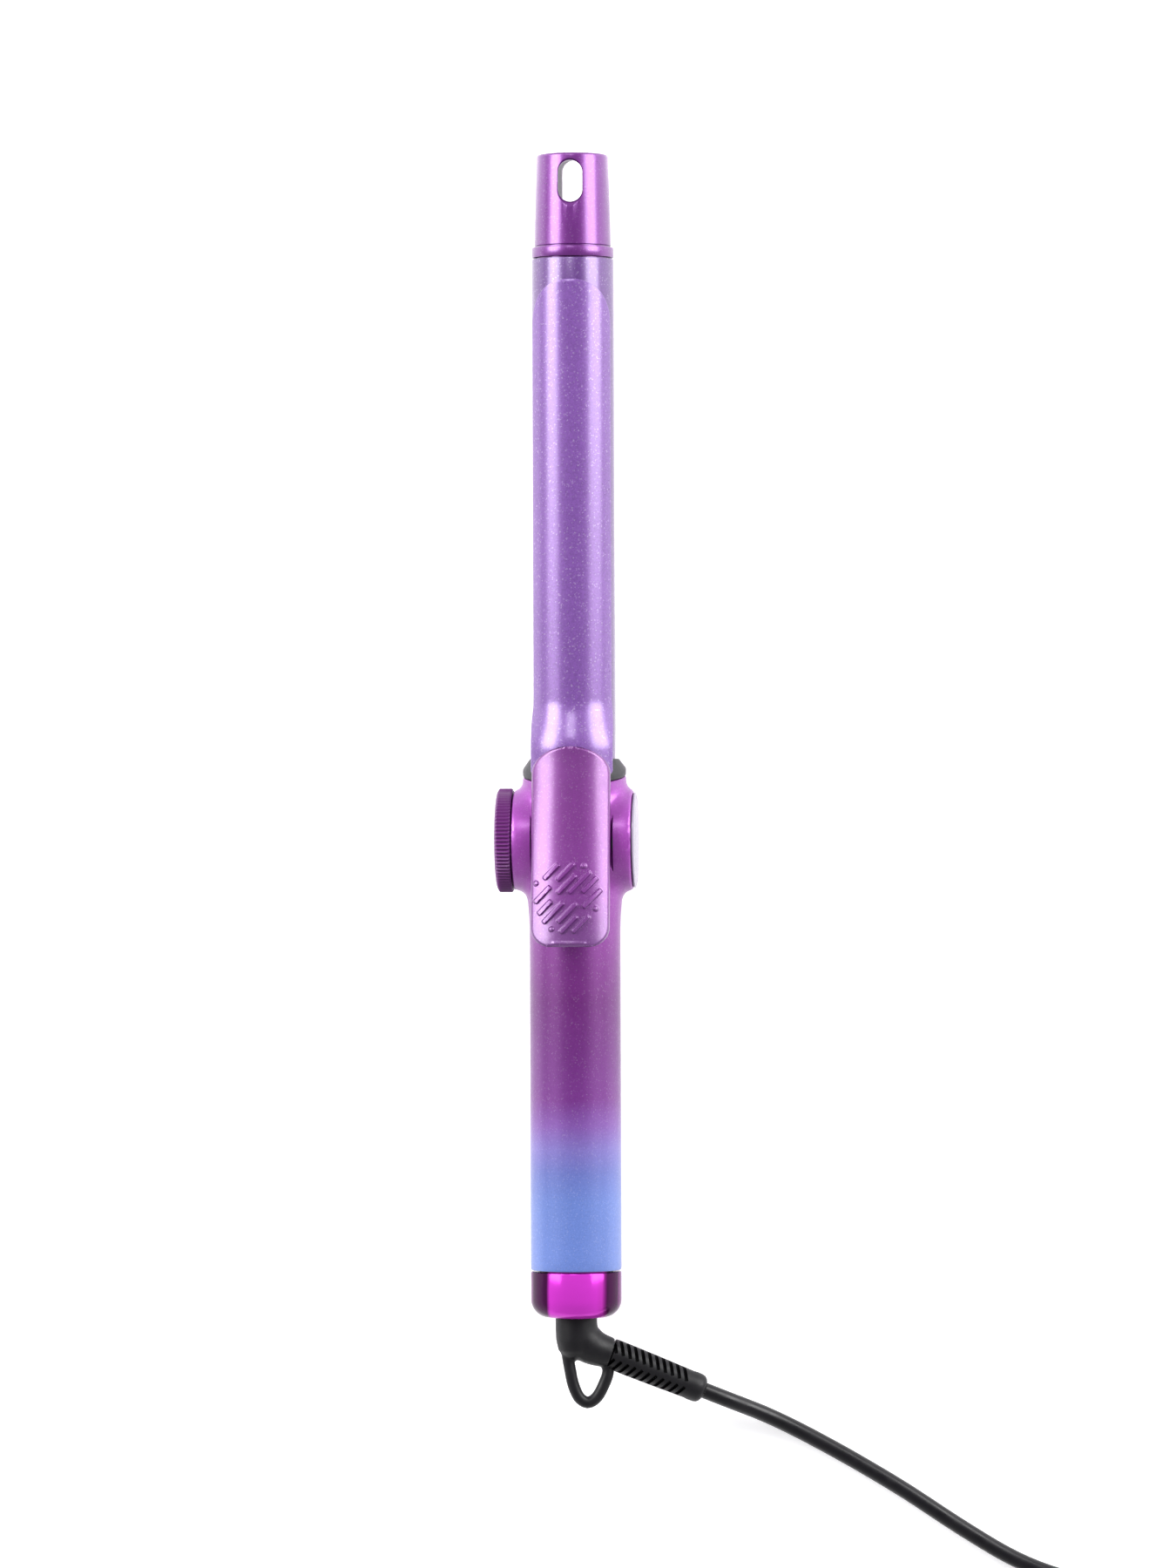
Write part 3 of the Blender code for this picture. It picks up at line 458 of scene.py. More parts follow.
def moulded(name, colour, rough, grain=1800.0, depth=0.00001, vary=0.08, spec=0.5, coat=0.0, sheen=0.0):
    """Moulded plastic or rubber: fine grain, slight mottling, roughness that varies, faint handling marks."""
    m = Nodes(name)
    dark = tuple(c * (1 - vary) for c in colour[:3]) + (1.0,)
    lite = tuple(min(1.0, c * (1 + vary)) for c in colour[:3]) + (1.0,)
    base = m.mix(m.span(m.noise(70.0, 4.0), 0.3, 0.7, 0.0, 1.0), dark, lite)
    speck = m.span(m.noise(grain * 0.7, 2.0), 0.3, 0.7, 0.0, 0.3)
    base = m.mix(speck, base, lite)
    rough_of = m.math("ADD", m.span(m.noise(grain * 0.5, 3.0), 0.3, 0.7, rough - 0.05, rough + 0.06), m.span(m.noise(26.0, 3.0), 0.35, 0.65, -0.03, 0.03))
    m.set(Base_Color=base, Roughness=rough_of, Normal=m.bump(m.noise(grain, 3.0, 0.6), depth, 0.7), Specular_IOR_Level=spec, Coat_Weight=coat, Coat_Roughness=0.12, Sheen_Weight=sheen)
    return m.mat


def metal(name, colour, rough, lines=(1.0, 1.0, 1.0), scale=2500.0, depth=0.000004, vary=0.06):
    """Turned, drawn or rolled metal: fine lines, a little tarnish."""
    m = Nodes(name)
    at = m.stretched(*lines)
    streak = m.noise(scale, 4.0, 0.6, at=at)
    dark = tuple(c * (1 - 3 * vary) for c in colour[:3]) + (1.0,)
    base = m.mix(m.span(m.noise(180.0, 4.0), 0.45, 0.75, 0.0, 1.0), colour, dark)
    base = m.mix(m.span(streak, 0.3, 0.7, 0.0, 0.25), base, dark)
    m.set(Base_Color=base, Metallic=1.0, Roughness=m.span(streak, 0.25, 0.75, rough - 0.07, rough + 0.09), Normal=m.bump(streak, depth, 0.6))
    return m.mat


def fading(stops):
    """A number by place along the iron: stops are (Y in the iron's frame, number)."""
    def number_of(m):
        lo, hi = stops[0][0], stops[-1][0]
        fac = m.span(m.axis(1), (lo - 46) * MM, (hi - 46) * MM, 0.0, 1.0)
        return m.ramp(fac, [((s - lo) / (hi - lo), (v, v, v, 1.0)) for s, v in stops])
    return number_of


BARREL = flake_paint("barrel_pearl", plain(srgb(84, 42, 114)), 0.34, 0.34, spark=0.55, coat=1.0, coat_rough=0.24)
CLAMP = flake_paint("clamp_pearl", plain(srgb(111, 68, 145)), 0.34, 0.28, spark=0.6, coat=1.0, coat_rough=0.24)
TIP = flake_paint("tip_satin", plain(srgb(104, 28, 122)), 0.33, 0.58, flake=3200.0, spark=0.25, coat=1.0, coat_rough=0.24)
LEVER = flake_paint(
    "lever_satin",
    graded([(-34, srgb(98, 48, 114)), (-14, srgb(109, 35, 123)), (8, srgb(109, 35, 121)), (30, srgb(108, 41, 121))]),
    0.35, 0.42, flake=3000.0, spark=0.3, coat=1.0, coat_rough=0.25,
)
SHELL = flake_paint(
    "shell_gradient",
    graded([
        (-136, srgb(92, 117, 184)), (-112, srgb(92, 115, 182)), (-103, srgb(92, 103, 171)), (-95, srgb(112, 98, 170)), (-88, srgb(116, 72, 152)),
        # the lighter stops from Y -15 to 22, brightest from -8 to 10, are a painted highlight on the hub; the purple to
        # blue run is the paint's own gradient
        (-80, srgb(105, 38, 123)), (-50, srgb(95, 23, 105)), (-15, srgb(134, 46, 146)), (-8, srgb(152, 64, 164)), (10, srgb(152, 64, 164)), (22, srgb(136, 50, 148)),
    ]),
    0.36, fading([(-136, 0.12), (-100, 0.14), (-82, 0.3), (22, 0.4)]), flake=3000.0, spark=0.3, coat=0.45, coat_rough=0.25,
)


def cap_chrome():
    """Tinted plating with painted reflections: colour by X across the cap, a painted bright band in the middle, painted
    dark bands at the two flanks and a painted tone at the outer rim, standing in for the lights' reflections.
    """
    m = Nodes("cap_magenta_chrome")
    x = m.math("ADD", m.axis(0), m.span(m.noise(60.0, 2.0), 0.3, 0.7, -0.00015, 0.00015))
    # the ramp paints reflections: lite is the painted bright middle band, the dark colour makes the painted flank
    # bands, edge is the painted tone at the outer rim
    lite, painted_dark_band, edge = srgb(194, 52, 188), srgb(56, 4, 54), srgb(104, 26, 100)
    fac = m.span(x, -0.0141, 0.0141, 0.0, 1.0)

    def at(mm):
        return (mm + 14.1) / 28.2

    base = m.ramp(fac, [(0.0, edge), (at(-13.4), edge), (at(-12.9), painted_dark_band), (at(-8.4), painted_dark_band), (at(-7.3), lite), (at(7.0), lite), (at(8.7), srgb(178, 48, 168)), (at(9.5), srgb(120, 26, 112)), (at(10.2), painted_dark_band), (at(13.1), painted_dark_band), (at(13.5), edge), (1.0, edge)])
    rub = m.noise(1400.0, 3.0, at=m.stretched(1.0, 9.0, 1.0))
    m.set(Base_Color=base, Metallic=0.35, Roughness=m.span(rub, 0.3, 0.7, 0.13, 0.19), Normal=m.bump(rub, 0.0000012, 0.4), Specular_IOR_Level=0.12)
    return m.mat


CAP = cap_chrome()
DIAL = moulded("dial_plum", srgb(96, 32, 104), 0.42, grain=2200.0, depth=0.000012, vary=0.1, spec=0.55, coat=0.15)
CHARCOAL = moulded("charcoal_plastic", srgb(22, 19, 27), 0.46, grain=1500.0, depth=0.000014, vary=0.1, coat=0.1)
BLACK = moulded("soft_black", srgb(11, 10, 14), 0.46, grain=1300.0, depth=0.000016, vary=0.18, spec=0.3)
PLUG = moulded("plug_black", srgb(17, 16, 20), 0.38, grain=1100.0, depth=0.000016, vary=0.15, spec=0.5)
CERAMIC = moulded("fired_ceramic", srgb(226, 220, 204), 0.62, grain=2600.0, depth=0.00002, vary=0.05)
BOARD = moulded("solder_mask", srgb(20, 94, 60), 0.36, grain=900.0, depth=0.000012, vary=0.14, coat=0.3)
CHIP = moulded("moulded_black", srgb(30, 30, 32), 0.55, grain=3000.0, depth=0.00002, vary=0.12)
FILM = moulded("dipped_film", srgb(214, 118, 34), 0.3, grain=700.0, depth=0.00001, vary=0.08, coat=0.4)
RED = moulded("wire_red_pvc", srgb(172, 30, 26), 0.45, grain=1600.0, depth=0.00001, vary=0.08)
BLUE = moulded("wire_blue_pvc", srgb(38, 78, 162), 0.45, grain=1600.0, depth=0.00001, vary=0.08)
STEEL = metal("turned_steel", srgb(196, 196, 200), 0.32)
ALU = metal("extruded_aluminium", srgb(205, 206, 209), 0.4, lines=(1.0, 0.05, 1.0))
BRASS = metal("turned_brass", srgb(206, 168, 92), 0.3)


def cord_jacket():
    m = Nodes("cord_jacket_pvc")
    base = m.mix(m.span(m.noise(120.0, 3.0), 0.3, 0.7, 0.0, 1.0), srgb(9, 8, 12), srgb(16, 14, 19))
    drag = m.noise(1500.0, 3.0)
    m.set(Base_Color=base, Roughness=m.span(m.noise(320.0, 4.0), 0.3, 0.7, 0.25, 0.4), Normal=m.bump(drag, 0.00001, 0.5), Specular_IOR_Level=0.34)
    return m.mat


def milky_lens():
    m = Nodes("milky_lens")
    base = m.mix(m.span(m.noise(40.0, 3.0), 0.3, 0.7, 0.0, 1.0), srgb(134, 124, 146), srgb(126, 116, 138))
    m.set(Base_Color=base, Roughness=m.span(m.noise(500.0, 2.0), 0.3, 0.7, 0.14, 0.22), Normal=m.bump(m.noise(700.0, 2.0), 0.0000012, 0.3), Coat_Weight=0.2, Coat_Roughness=0.08)
    return m.mat


JACKET, LENS = cord_jacket(), milky_lens()


# ------------------------------------------------------------------ the cord: one tube from the boot to the plug
TURN = Matrix.Rotation(ROLL, 4, "Y")


def rolled(p):
    q = TURN @ Vector((p[0], 0, p[2]))
    return Vector((q.x, p[1], q.z))


def boot_point(s, across=0.0, up=0.0):
    return Vector((s * math.cos(BOOT_ANGLE) - across * math.sin(BOOT_ANGLE), ELBOW_Y + s * math.sin(BOOT_ANGLE) + across * math.cos(BOOT_ANGLE), up))


boot_end = rolled(boot_point(43.3))
boot_dir = (rolled(boot_point(1.0)) - rolled(boot_point(0.0))).normalized()
LAYERS = (-20.0 + 2.6, -20.0 + 7.5, -20.0 + 12.4)
TURNS = [(40.0, 0), (35.0, 0), (30.0, 0), (25.0, 0), (25.0, 1), (30.0, 1), (35.0, 1), (35.0, 2), (30.0, 2), (25.0, 2)]
START, LAST = math.radians(80.0), 8.0 + 140.0 / 360.0


def coil_point(phi):
    """phi is the number of turns wound so far, clockwise seen from above."""
    n = int(min(phi, LAST - 1e-9))
    f = phi - n
    s = smooth(f * 6.0) if f < 1 / 6 else 1.0
    (r0, l0), (r1, l1) = TURNS[n], TURNS[n + 1]
    r, z = r0 + (r1 - r0) * s, LAYERS[l0] + (LAYERS[l1] - LAYERS[l0]) * s
    a = START - 2 * math.pi * phi
    # the tie lifts the strands off the floor by its own thickness
    turn = (a + math.pi) % (2 * math.pi) - math.pi
    z += TIE_LIFT * math.exp(-((turn / math.radians(20)) ** 2))
    return Vector((CX + r * math.cos(a), CY + r * math.sin(a), z))


TIE_LIFT = 0.95
coil = [coil_point(LAST * k / 420.0) for k in range(421)]
lead_knots = [
    boot_end,
    boot_end + boot_dir * 9.0,
    Vector((58.5, -179.4, -15.6)),
    Vector((77.0, -188.9, FLOOR)),
    Vector((100.0, -202.2, FLOOR)),
    Vector((119.0, -214.6, FLOOR)),
    Vector((137.0, -225.0, FLOOR)),
    Vector((154.5, -231.0, FLOOR)),
    coil[0],
]
lead = spline([*lead_knots, coil[3]], 4.0)
lead = [p for p in lead if p.x < coil[0].x - 2.5]
PLUG_AT = Vector((CX - 44.0, CY - 39.0, FLOOR + 3.0))
PLUG_DIR = Vector((-0.985, 0.174, 0)).normalized()
a = START - 2 * math.pi * LAST
go = Vector((math.sin(a), -math.cos(a), 0))
top = coil[-1]
tail_knots = [
    top,
    top + go * 9.0 + Vector((0, 0, 4.2)),
    top + go * 18.0 + Vector((0, 0, 5.1)),
    Vector((CX - 14.0, CY - 37.2, LAYERS[2] + 3.2)),
    Vector((CX - 24.0, CY - 40.6, LAYERS[2] - 2.2)),
    PLUG_AT - PLUG_DIR * 8.0,
    PLUG_AT + PLUG_DIR * 2.0,
]
tail = spline(tail_knots, 3.0)
line = [*lead, *coil, *tail[1:]]
# an even spacing keeps every ring square to the line
run = np.cumsum([0.0] + [(b - a).length for a, b in zip(line, line[1:])])
count = round(run[-1] / 3.6)
line = [Vector(p) for p in zip(*[np.interp(np.linspace(0, run[-1], count), run, [q[k] for q in line]) for k in range(3)])]
for _ in range(2):
    line = [line[0], *[(a + b * 2 + c) / 4 for a, b, c in zip(line, line[1:], line[2:])], line[-1]]
cord = new_object("mains_cord", swept(line, CORD_R, 18))
finish(cord, JACKET, 50)
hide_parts("cord_lead", "cord_coil", "cord_tail")
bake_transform(cord)

# the tie round the coil, with a lapped end
TIE_X, TIE_Z = CX + 30.0, -20.0 + 7.6 + TIE_LIFT


def tie_band(grow, y0, y1, lift=0.0):
    """A rounded band round the coil's section; grow is its inner face's distance from the strands' bundle."""
    rows = []
    for y, g in ((y0, grow + 0.25), (y0 + 0.4, grow), (y1 - 0.4, grow), (y1, grow + 0.25), (y1, grow + 0.75), (y1 - 0.4, grow + 1.0), (y0 + 0.4, grow + 1.0), (y0, grow + 0.75)):
        row = []
        w, h, c = 7.75 + g, 7.45 + g, 2.4 + g
        for sx, sz, a0 in ((1, 1, 0.0), (-1, 1, 0.5), (-1, -1, 1.0), (1, -1, 1.5)):
            for k in range(9):
                ang = math.pi * (a0 + 0.5 * k / 8)
                row.append(Vector((TIE_X + sx * (w - c) + c * math.cos(ang), CY + y, TIE_Z + lift + sz * (h - c) + c * math.sin(ang))))
        rows.append(row)
    return closed_grid(rows, wrap_u=True, wrap_v=True)


tie = new_object("cord_strap", tie_band(0.0, -6.0, 6.0))
tab = []
for k in range(13):
    a = math.radians(-20 + 100 * k / 12)
    w, h, c = 7.75 + 1.05, 7.45 + 1.05, 3.4
    base = Vector((TIE_X + (w - c) + c * math.cos(max(0.0, a)), 0, TIE_Z + (h - c) + c * math.sin(max(0.0, a))))
    n = Vector((math.cos(max(0.0, a)), 0, math.sin(max(0.0, a))))
    base.z += min(0.0, math.degrees(a)) * 0.12
    half = 4.6 - 1.2 * max(0.0, (k - 10) / 2)
    t = 0.9
    tab.append([base + Vector((0, CY + y, 0)) + n * d for y, d in ((-half, 0.0), (half, 0.0), (half, t - 0.2), (half - 0.3, t), (-half + 0.3, t), (-half, t - 0.2))])
cut(tie, [("UNION", closed_grid(tab, wrap_v=True, cap=True))])

# the plug: a lofted body with a neck, grip ribs and two flat blades
across = Vector((-PLUG_DIR.y, PLUG_DIR.x, 0))


def plug_block(sections, n=9):
    rows = []
    for s, w, h, c in sections:
        row = []
        for sx, sz, a0 in ((1, 1, 0.0), (-1, 1, 0.5), (-1, -1, 1.0), (1, -1, 1.5)):
            for k in range(n):
                ang = math.pi * (a0 + 0.5 * k / (n - 1))
                row.append(PLUG_AT + PLUG_DIR * s + across * (sx * (w - c) + c * math.cos(ang)) + Vector((0, 0, sz * (h - c) + c * math.sin(ang))))
        rows.append(row)
    return closed_grid(rows, wrap_v=True, cap=True)


sections = [(0.2, 2.6, 2.6, 2.5), (0.5, 3.0, 3.0, 2.6)]
for k in range(4):
    s, w = 1.2 + 2.2 * k, 3.1 + 0.14 * k
    sections += [(s, w, w, 2.6), (s + 0.25, w + 0.3, w + 0.3, 2.7), (s + 1.1, w + 0.3, w + 0.3, 2.7), (s + 1.35, w, w, 2.6)]
sections += [(10.0, 3.6, 3.6, 2.4), (12.0, 5.1, 4.2, 2.4), (14.0, 7.0, 4.8, 2.4), (16.5, 8.4, 5.1, 2.4), (20.0, 9.6, 5.3, 2.4), (26.0, 10.2, 5.45, 2.4), (33.6, 10.6, 5.5, 2.4), (34.4, 10.5, 5.45, 2.4), (34.9, 10.2, 5.2, 2.3), (35.05, 9.6, 4.8, 2.0)]
plug = new_object("plug_moulding", plug_block(sections))
ribs = []
for k in range(5):
    s = 19.0 + 2.6 * k
    for side in (1, -1):
        at = PLUG_AT + PLUG_DIR * s + Vector((0, 0, side * 5.55))
        rib = box((-0.6, -6.2 + 0.1 * k, -0.8), (0.6, 6.2 - 0.1 * k, 0.8), 0.35, 2)
        turn = Matrix((PLUG_DIR, across, Vector((0, 0, 1)))).transposed().to_4x4()
        bmesh.ops.transform(rib, matrix=Matrix.Translation(at) @ turn, verts=rib.verts)
        ribs.append(rib)
cut(plug, [joined(*ribs)])
blades = []
for k, side in enumerate((6.35, -6.35), 1):
    blade = []
    for s, w, t in ((35.3, 3.15, 0.75), (49.8, 3.15, 0.75), (51.3, 2.7, 0.5), (51.8, 2.2, 0.3)):
        q = PLUG_AT + PLUG_DIR * s + across * side
        blade.append([q + across * x + Vector((0, 0, z)) for x, z in ((t, w - 0.15), (t - 0.15, w), (-t + 0.15, w), (-t, w - 0.15), (-t, -w + 0.15), (-t + 0.15, -w), (t - 0.15, -w), (t, -w + 0.15))])
    obj = new_object(f"plug_blade_{k}", closed_grid(blade, wrap_v=True, cap=True))
    hole = turned([(-3.0, 1.6), (3.0, 1.6)], "X", 24)
    turn = Matrix((across, -PLUG_DIR, Vector((0, 0, 1)))).transposed().to_4x4()
    bmesh.ops.transform(hole, matrix=Matrix.Translation(PLUG_AT + PLUG_DIR * 47.0 + across * side) @ turn, verts=hole.verts)
    cut(obj, [hole])
    blades.append(obj)
piece("cord_strap", tie, BLACK, "iron_body", ["cord_tie"], 40)
piece("plug_moulding", plug, PLUG, "iron_body", ["plug_body"], 40)
for k, obj in enumerate(blades, 1):
    piece(f"plug_blade_{k}", obj, BRASS, "iron_body", [f"plug_pin_{k}"], 30)

# ------------------------------------------------------------------ barrel, tip, collar
barrel = new_object("barrel", ring([(17.5, 11.7), (17.5, 12.4), (17.8, 12.7), *[(y, 12.7) for y in (40, 70, 100, 130, 160)], (179.7, 12.7), (179.92, 12.62), (180.0, 12.4), (180.0, 11.7)], n=160))
piece("barrel", barrel, BARREL, "iron_body", ["barrel_tube"])

HOLE_HALF_W, HOLE_HALF_L, HOLE_Y = 3.7, 6.35, 203.6


def stadium(grow, n=64, longer=0.0):
    out = []
    for k in range(n):
        a = 2 * math.pi * (k + 0.5) / n
        out.append(((HOLE_HALF_W + grow) * math.cos(a), HOLE_Y + (HOLE_HALF_L + longer - HOLE_HALF_W) * (1 if math.sin(a) > 0 else -1) + (HOLE_HALF_W + grow) * math.sin(a)))
    return out


profile = [(172.0, 10.6), (172.0, 11.0), (180.35, 11.2), (180.35, 12.35), (180.45, 12.6), (180.7, 12.72), (183.2, 12.72), (183.42, 12.64), (183.55, 12.45), (183.58, 11.45), (183.95, 11.42), (184.0, 11.75), (184.2, 11.88), (190.0, 11.75), (200.0, 11.48), (211.4, 11.18), (211.75, 11.12), (212.05, 10.98), (212.28, 10.72), (212.4, 10.3), (212.4, 0.4)]
tip = new_object("tip_moulding", turned(profile, n=160))
wells = []
for side in (1, -1):
    rows = []
    for t in np.linspace(0.0, 1.0, 9):
        grow = 1.75 * (1 - math.sqrt(max(0.0, 1 - t * t)))
        rows.append([(x, y, side * (9.6 + 1.95 * t)) for x, y in stadium(grow)])
    rows.append([(x, y, side * 14.0) for x, y in stadium(1.75 + 2.6)])
    wells.append(closed_grid(rows, wrap_v=True, cap=True))
through = closed_grid([[(x, y, z) for x, y in stadium(0.12 if abs(z) < 9 else 0.05, longer=max(0.0, min(1.5, (9.0 - z) * 0.085)))] for z in (-20.0, -9.0, 0.0, 9.0, 20.0)], wrap_v=True, cap=True)
cut(tip, [through, wells[0], wells[1]])
piece("tip_moulding", tip, TIP, "iron_body", ["cool_tip"], 30)
tip.data.materials.append(moulded("tip_hole_lining", srgb(70, 30, 82), 0.5, grain=2400.0, depth=0.00001, vary=0.12))
for face in tip.data.polygons:
    c = face.center / MM - SHIFT
    if abs(c.x) < 4.0 and abs(c.y - HOLE_Y) < 8.2 and abs(c.z) < 9.3:
        face.material_index = 1


def seam_y(z):
    return 20.1 - 2.6 * z / 16.0


rows = []
for k in range(144):
    a = 2 * math.pi * k / 144
    s = math.sin(a)
    lo = seam_y(16 * s)
    rows.append([
        Vector((r * math.cos(a), y, r * s))
        for y, r in (
            (25.2, 13.1), (25.2, 13.6), (25.15, 13.8), (24.95, 13.98), (lo + 2.15, 15.86), (lo + 1.85, 15.98), (lo + 1.5, 16.0),
            (lo + 0.35, 16.0), (lo + 0.1, 15.9), (lo, 15.65), (seam_y(13.1 * s), 13.1),
        )
    ])
collar = new_object("collar_ring", closed_grid(rows, wrap_u=True, wrap_v=True))
piece("collar_ring", collar, CHARCOAL, "iron_body", ["collar"], 40)

# ------------------------------------------------------------------ clamp plate
R_CHANNEL_IN = 16.4


def channel_r(y):
    return 13.0 + 3.4 * float(smooth((43.0 - y) / 15.0))


def clamp_section(y):
    r = channel_r(y)
    wide = 12.2 + 0.6 * float(smooth((45 - y) / 10.0)) - 3.0 * float(smooth((21.5 - y) / 3.5))
    half = math.asin(min(1.0, wide / (r + 0.9)))
    t = 173.2 - y
    if t < 14.0:
        half *= math.sqrt(max(0.0, 1 - (1 - t / 14.0) ** 2))
    return r, max(half, 0.02)


stations = [6.0, 6.3, 10.0, 14.0, *np.linspace(17.5, 22.5, 9), *np.linspace(24.0, 47.0, 24), *np.linspace(50, 155, 22)]
stations += [173.2 - 14.0 * (1 - math.cos(a)) for a in np.linspace(math.radians(86), 0, 26)]
rows = []
for y in stations:
    r, half = clamp_section(y)
    edge = min(0.3 / (r + 0.9), half * 0.4)
    near = min(1.0, math.sqrt(max(0.0, (173.2 - y)) / 0.9))
    us = [half * math.sin(u) / math.sin(1.35) for u in np.linspace(-1.35, 1.35, 41)]
    us = [max(-half + edge, min(half - edge, u)) for u in us]
    outer_r, inner_r = r + 0.9 - 0.28 * (1 - near), r + 0.12 * (1 - near)
    loop = [(outer_r, u) for u in us] + [(outer_r - 0.09, half - edge * 0.3), (outer_r - 0.3, half), (inner_r + 0.15, half), (inner_r, half - edge * 0.5)]
    loop += [(inner_r, u) for u in us[::-1]] + [(inner_r, -half + edge * 0.5), (inner_r + 0.15, -half), (outer_r - 0.3, -half), (outer_r - 0.09, -half + edge * 0.3)]
    rows.append([Vector((q * math.sin(u), y, q * math.cos(u))) for q, u in loop])
clamp = new_object("clamp_spoon", closed_grid(rows, wrap_v=True, cap=True), triangles=True)


def ear(x0, x1):
    y, z = PIVOT.y, PIVOT.z
    outline = [(14.2, 16.3), (14.2, z)] + [(y + 3.2 * math.cos(a), z + 3.2 * math.sin(a)) for a in np.linspace(-0.15, -math.pi + 0.15, 15)] + [(7.4, z + 0.8), (6.4, 16.3)]
    level = math.sqrt(R_CHANNEL_IN**2 - 9.3**2) + 0.55
    return prism([(a, min(b, level)) for a, b in outline], x0, x1, "X")


SCREWS = ((-5.5, 9.0), (5.5, 9.0))
drill = [rod(-13, 13, 1.45, "X", 28, tuple(PIVOT), c=0.01)] + [rod(14, 20, 1.15, "Z", 20, (x, y, 0), c=0.01) for x, y in SCREWS]
cut(clamp, [("UNION", joined(ear(-9.8, -8.8), ear(8.8, 9.8))), ("DIFFERENCE", joined(*drill))])
piece("clamp_spoon", clamp, CLAMP, "clamp", ["clamp_plate"], 30)

# ------------------------------------------------------------------ thumb lever
LEVER_TOP = ((-33.0, 27.6), (-30.0, 27.2), (-20.0, 25.7), (-10.0, 24.2), (0.0, 22.8), (10.0, 21.6), (20.0, 20.5), (25.0, 19.9), (29.0, 19.6))
LEVER_R = ((-32.5, 23.0), (0.0, 21.0), (15.0, 19.6), (29.0, 19.6))
LEVER_W, Y_LO, Y_HI = 12.15, -32.5, 29.0
BARS = ((-5.7, -9.4, 6.3), (-1.2, -9.5, 7.2), (-0.9, -13.3, 7.6), (3.1, -12.7, 9.0), (6.3, -13.5, 6.2), (7.0, -17.7, 7.6),
        (-8.4, -16.5, 6.9), (-7.6, -20.4, 5.7), (-5.0, -22.0, 8.6), (-0.6, -22.1, 8.0), (-0.2, -25.6, 7.0), (3.6, -25.5, 6.9))
DOTS = ((-10.4, -13.0), (8.1, -20.8), (-5.5, -27.0), (4.4, -7.7))


def table(pairs, x):
    return np.interp(x, [a for a, _ in pairs], [b for _, b in pairs])


def lever_half(y):
    hi, lo = Y_HI - y, y - Y_LO
    w = LEVER_W
    if hi < 8.5:
        w = LEVER_W * math.sqrt(max(0.0, 1 - (1 - hi / 8.5) ** 2))
    if lo < 6.0:
        w = LEVER_W - 6.0 + math.sqrt(max(0.0, 36.0 - (6.0 - lo) ** 2))
    return max(w, 0.35)


def lever_surface(x, y, under=0.0):
    r = table(LEVER_R, y)
    # the crown's table is read through a little smoothing, so no kink shows
    crown = sum(table(LEVER_TOP, y + d) for d in (-3.0, -1.5, 0.0, 1.5, 3.0)) / 5.0
    return crown - r + np.sqrt(np.maximum(0.0, (r - under) ** 2 - x * x))


outline = np.array([(lever_half(y) * s, y) for s in (1, -1) for y in np.linspace(Y_LO, Y_HI, 400)] + [(x, Y_LO) for x in np.linspace(-6.15, 6.15, 60)])


def edge_distance(x, y):
    d = np.full(x.shape, 99.0)
    for k in range(0, len(outline), 20):
        part = outline[k : k + 20]
        d = np.minimum(d, np.hypot(x[..., None] - part[:, 0], y[..., None] - part[:, 1]).min(axis=-1))
    return d


def relief(x, y):
    """Raised grip bars and dots, and a thin rolled lip at the lower end."""
    lean = math.radians(45.5)
    c, s = math.cos(lean), math.sin(lean)
    out = np.zeros(x.shape)
    for bx, by, long in BARS:
        u = (x - bx) * c + (y - by) * s
        v = -(x - bx) * s + (y - by) * c
        qx, qy = np.abs(u) - (long / 2 - 0.35), np.abs(v) - 0.28
        d = np.hypot(np.maximum(qx, 0), np.maximum(qy, 0)) + np.minimum(np.maximum(qx, qy), 0) - 0.4
        out = np.maximum(out, 0.85 * smooth((0.15 - d) / 0.32))
    for bx, by in DOTS:
        out = np.maximum(out, 0.55 * smooth((0.95 - np.hypot(x - bx, y - by)) / 0.5))
    lip = smooth((5.6 - np.abs(x)) / 1.2) * np.exp(-(((y - (Y_LO + 1.15)) / 0.38) ** 2))
    return out + 0.28 * lip


ys = [Y_HI - 8.5 * (1 - math.cos(a)) for a in np.linspace(0.02, math.radians(88), 34)]
ys += list(np.linspace(ys[-1] - 0.6, -3.0, 26)) + list(np.linspace(-3.2, -28.7, 150))
ys += list(np.linspace(-28.9, Y_LO + 0.6, 12)) + [Y_LO + d for d in (0.45, 0.3, 0.18, 0.08, 0.02, 0.0)]
u = np.linspace(-math.pi / 2, math.pi / 2, 141)
u = 0.55 * np.sin(u) + 0.45 * u / (math.pi / 2)
gx = np.array([[lever_half(y) * t for t in u] for y in ys])
gy = np.array([[y] * len(u) for y in ys])
d = edge_distance(gx, gy)
d[:, 0] = d[:, -1] = 0.0
d[0] = d[-1] = 0.0
ROUND = 0.85
drop = ROUND - np.sqrt(np.maximum(0.0, ROUND**2 - np.maximum(0.0, ROUND - d) ** 2))
hi_z = lever_surface(gx, gy) + relief(gx, gy) * smooth(d / 0.8) - drop
rise = 0.45 - np.sqrt(np.maximum(0.0, 0.45**2 - np.maximum(0.0, 0.45 - d) ** 2))
lo_z = lever_surface(gx, gy, 2.0) + rise
rows = []
for i in range(len(ys)):
    rows.append([Vector((gx[i, j], gy[i, j], hi_z[i, j])) for j in range(len(u))] + [Vector((gx[i, j], gy[i, j], lo_z[i, j])) for j in range(len(u) - 1, -1, -1)])
lever = new_object("lever_moulding", closed_grid(rows, wrap_v=True, cap=True), triangles=True)
cut(lever, [joined(*[rod(15.5, 18.55, 1.15, "Z", 20, (x, y, 0), c=0.01) for x, y in SCREWS])])
piece("lever_moulding", lever, LEVER, "clamp", ["thumb_lever"], 50)

# ------------------------------------------------------------------ hub and handle shells
NECK_R = ((-200.0, 14.05), (-27.0, 14.05), (-22.0, 14.3), (-15.0, 15.0), (0.0, 15.4), (10.0, 15.7), (15.0, 16.0), (40.0, 16.0))
FILLET, RIM = 3.4, 0.7


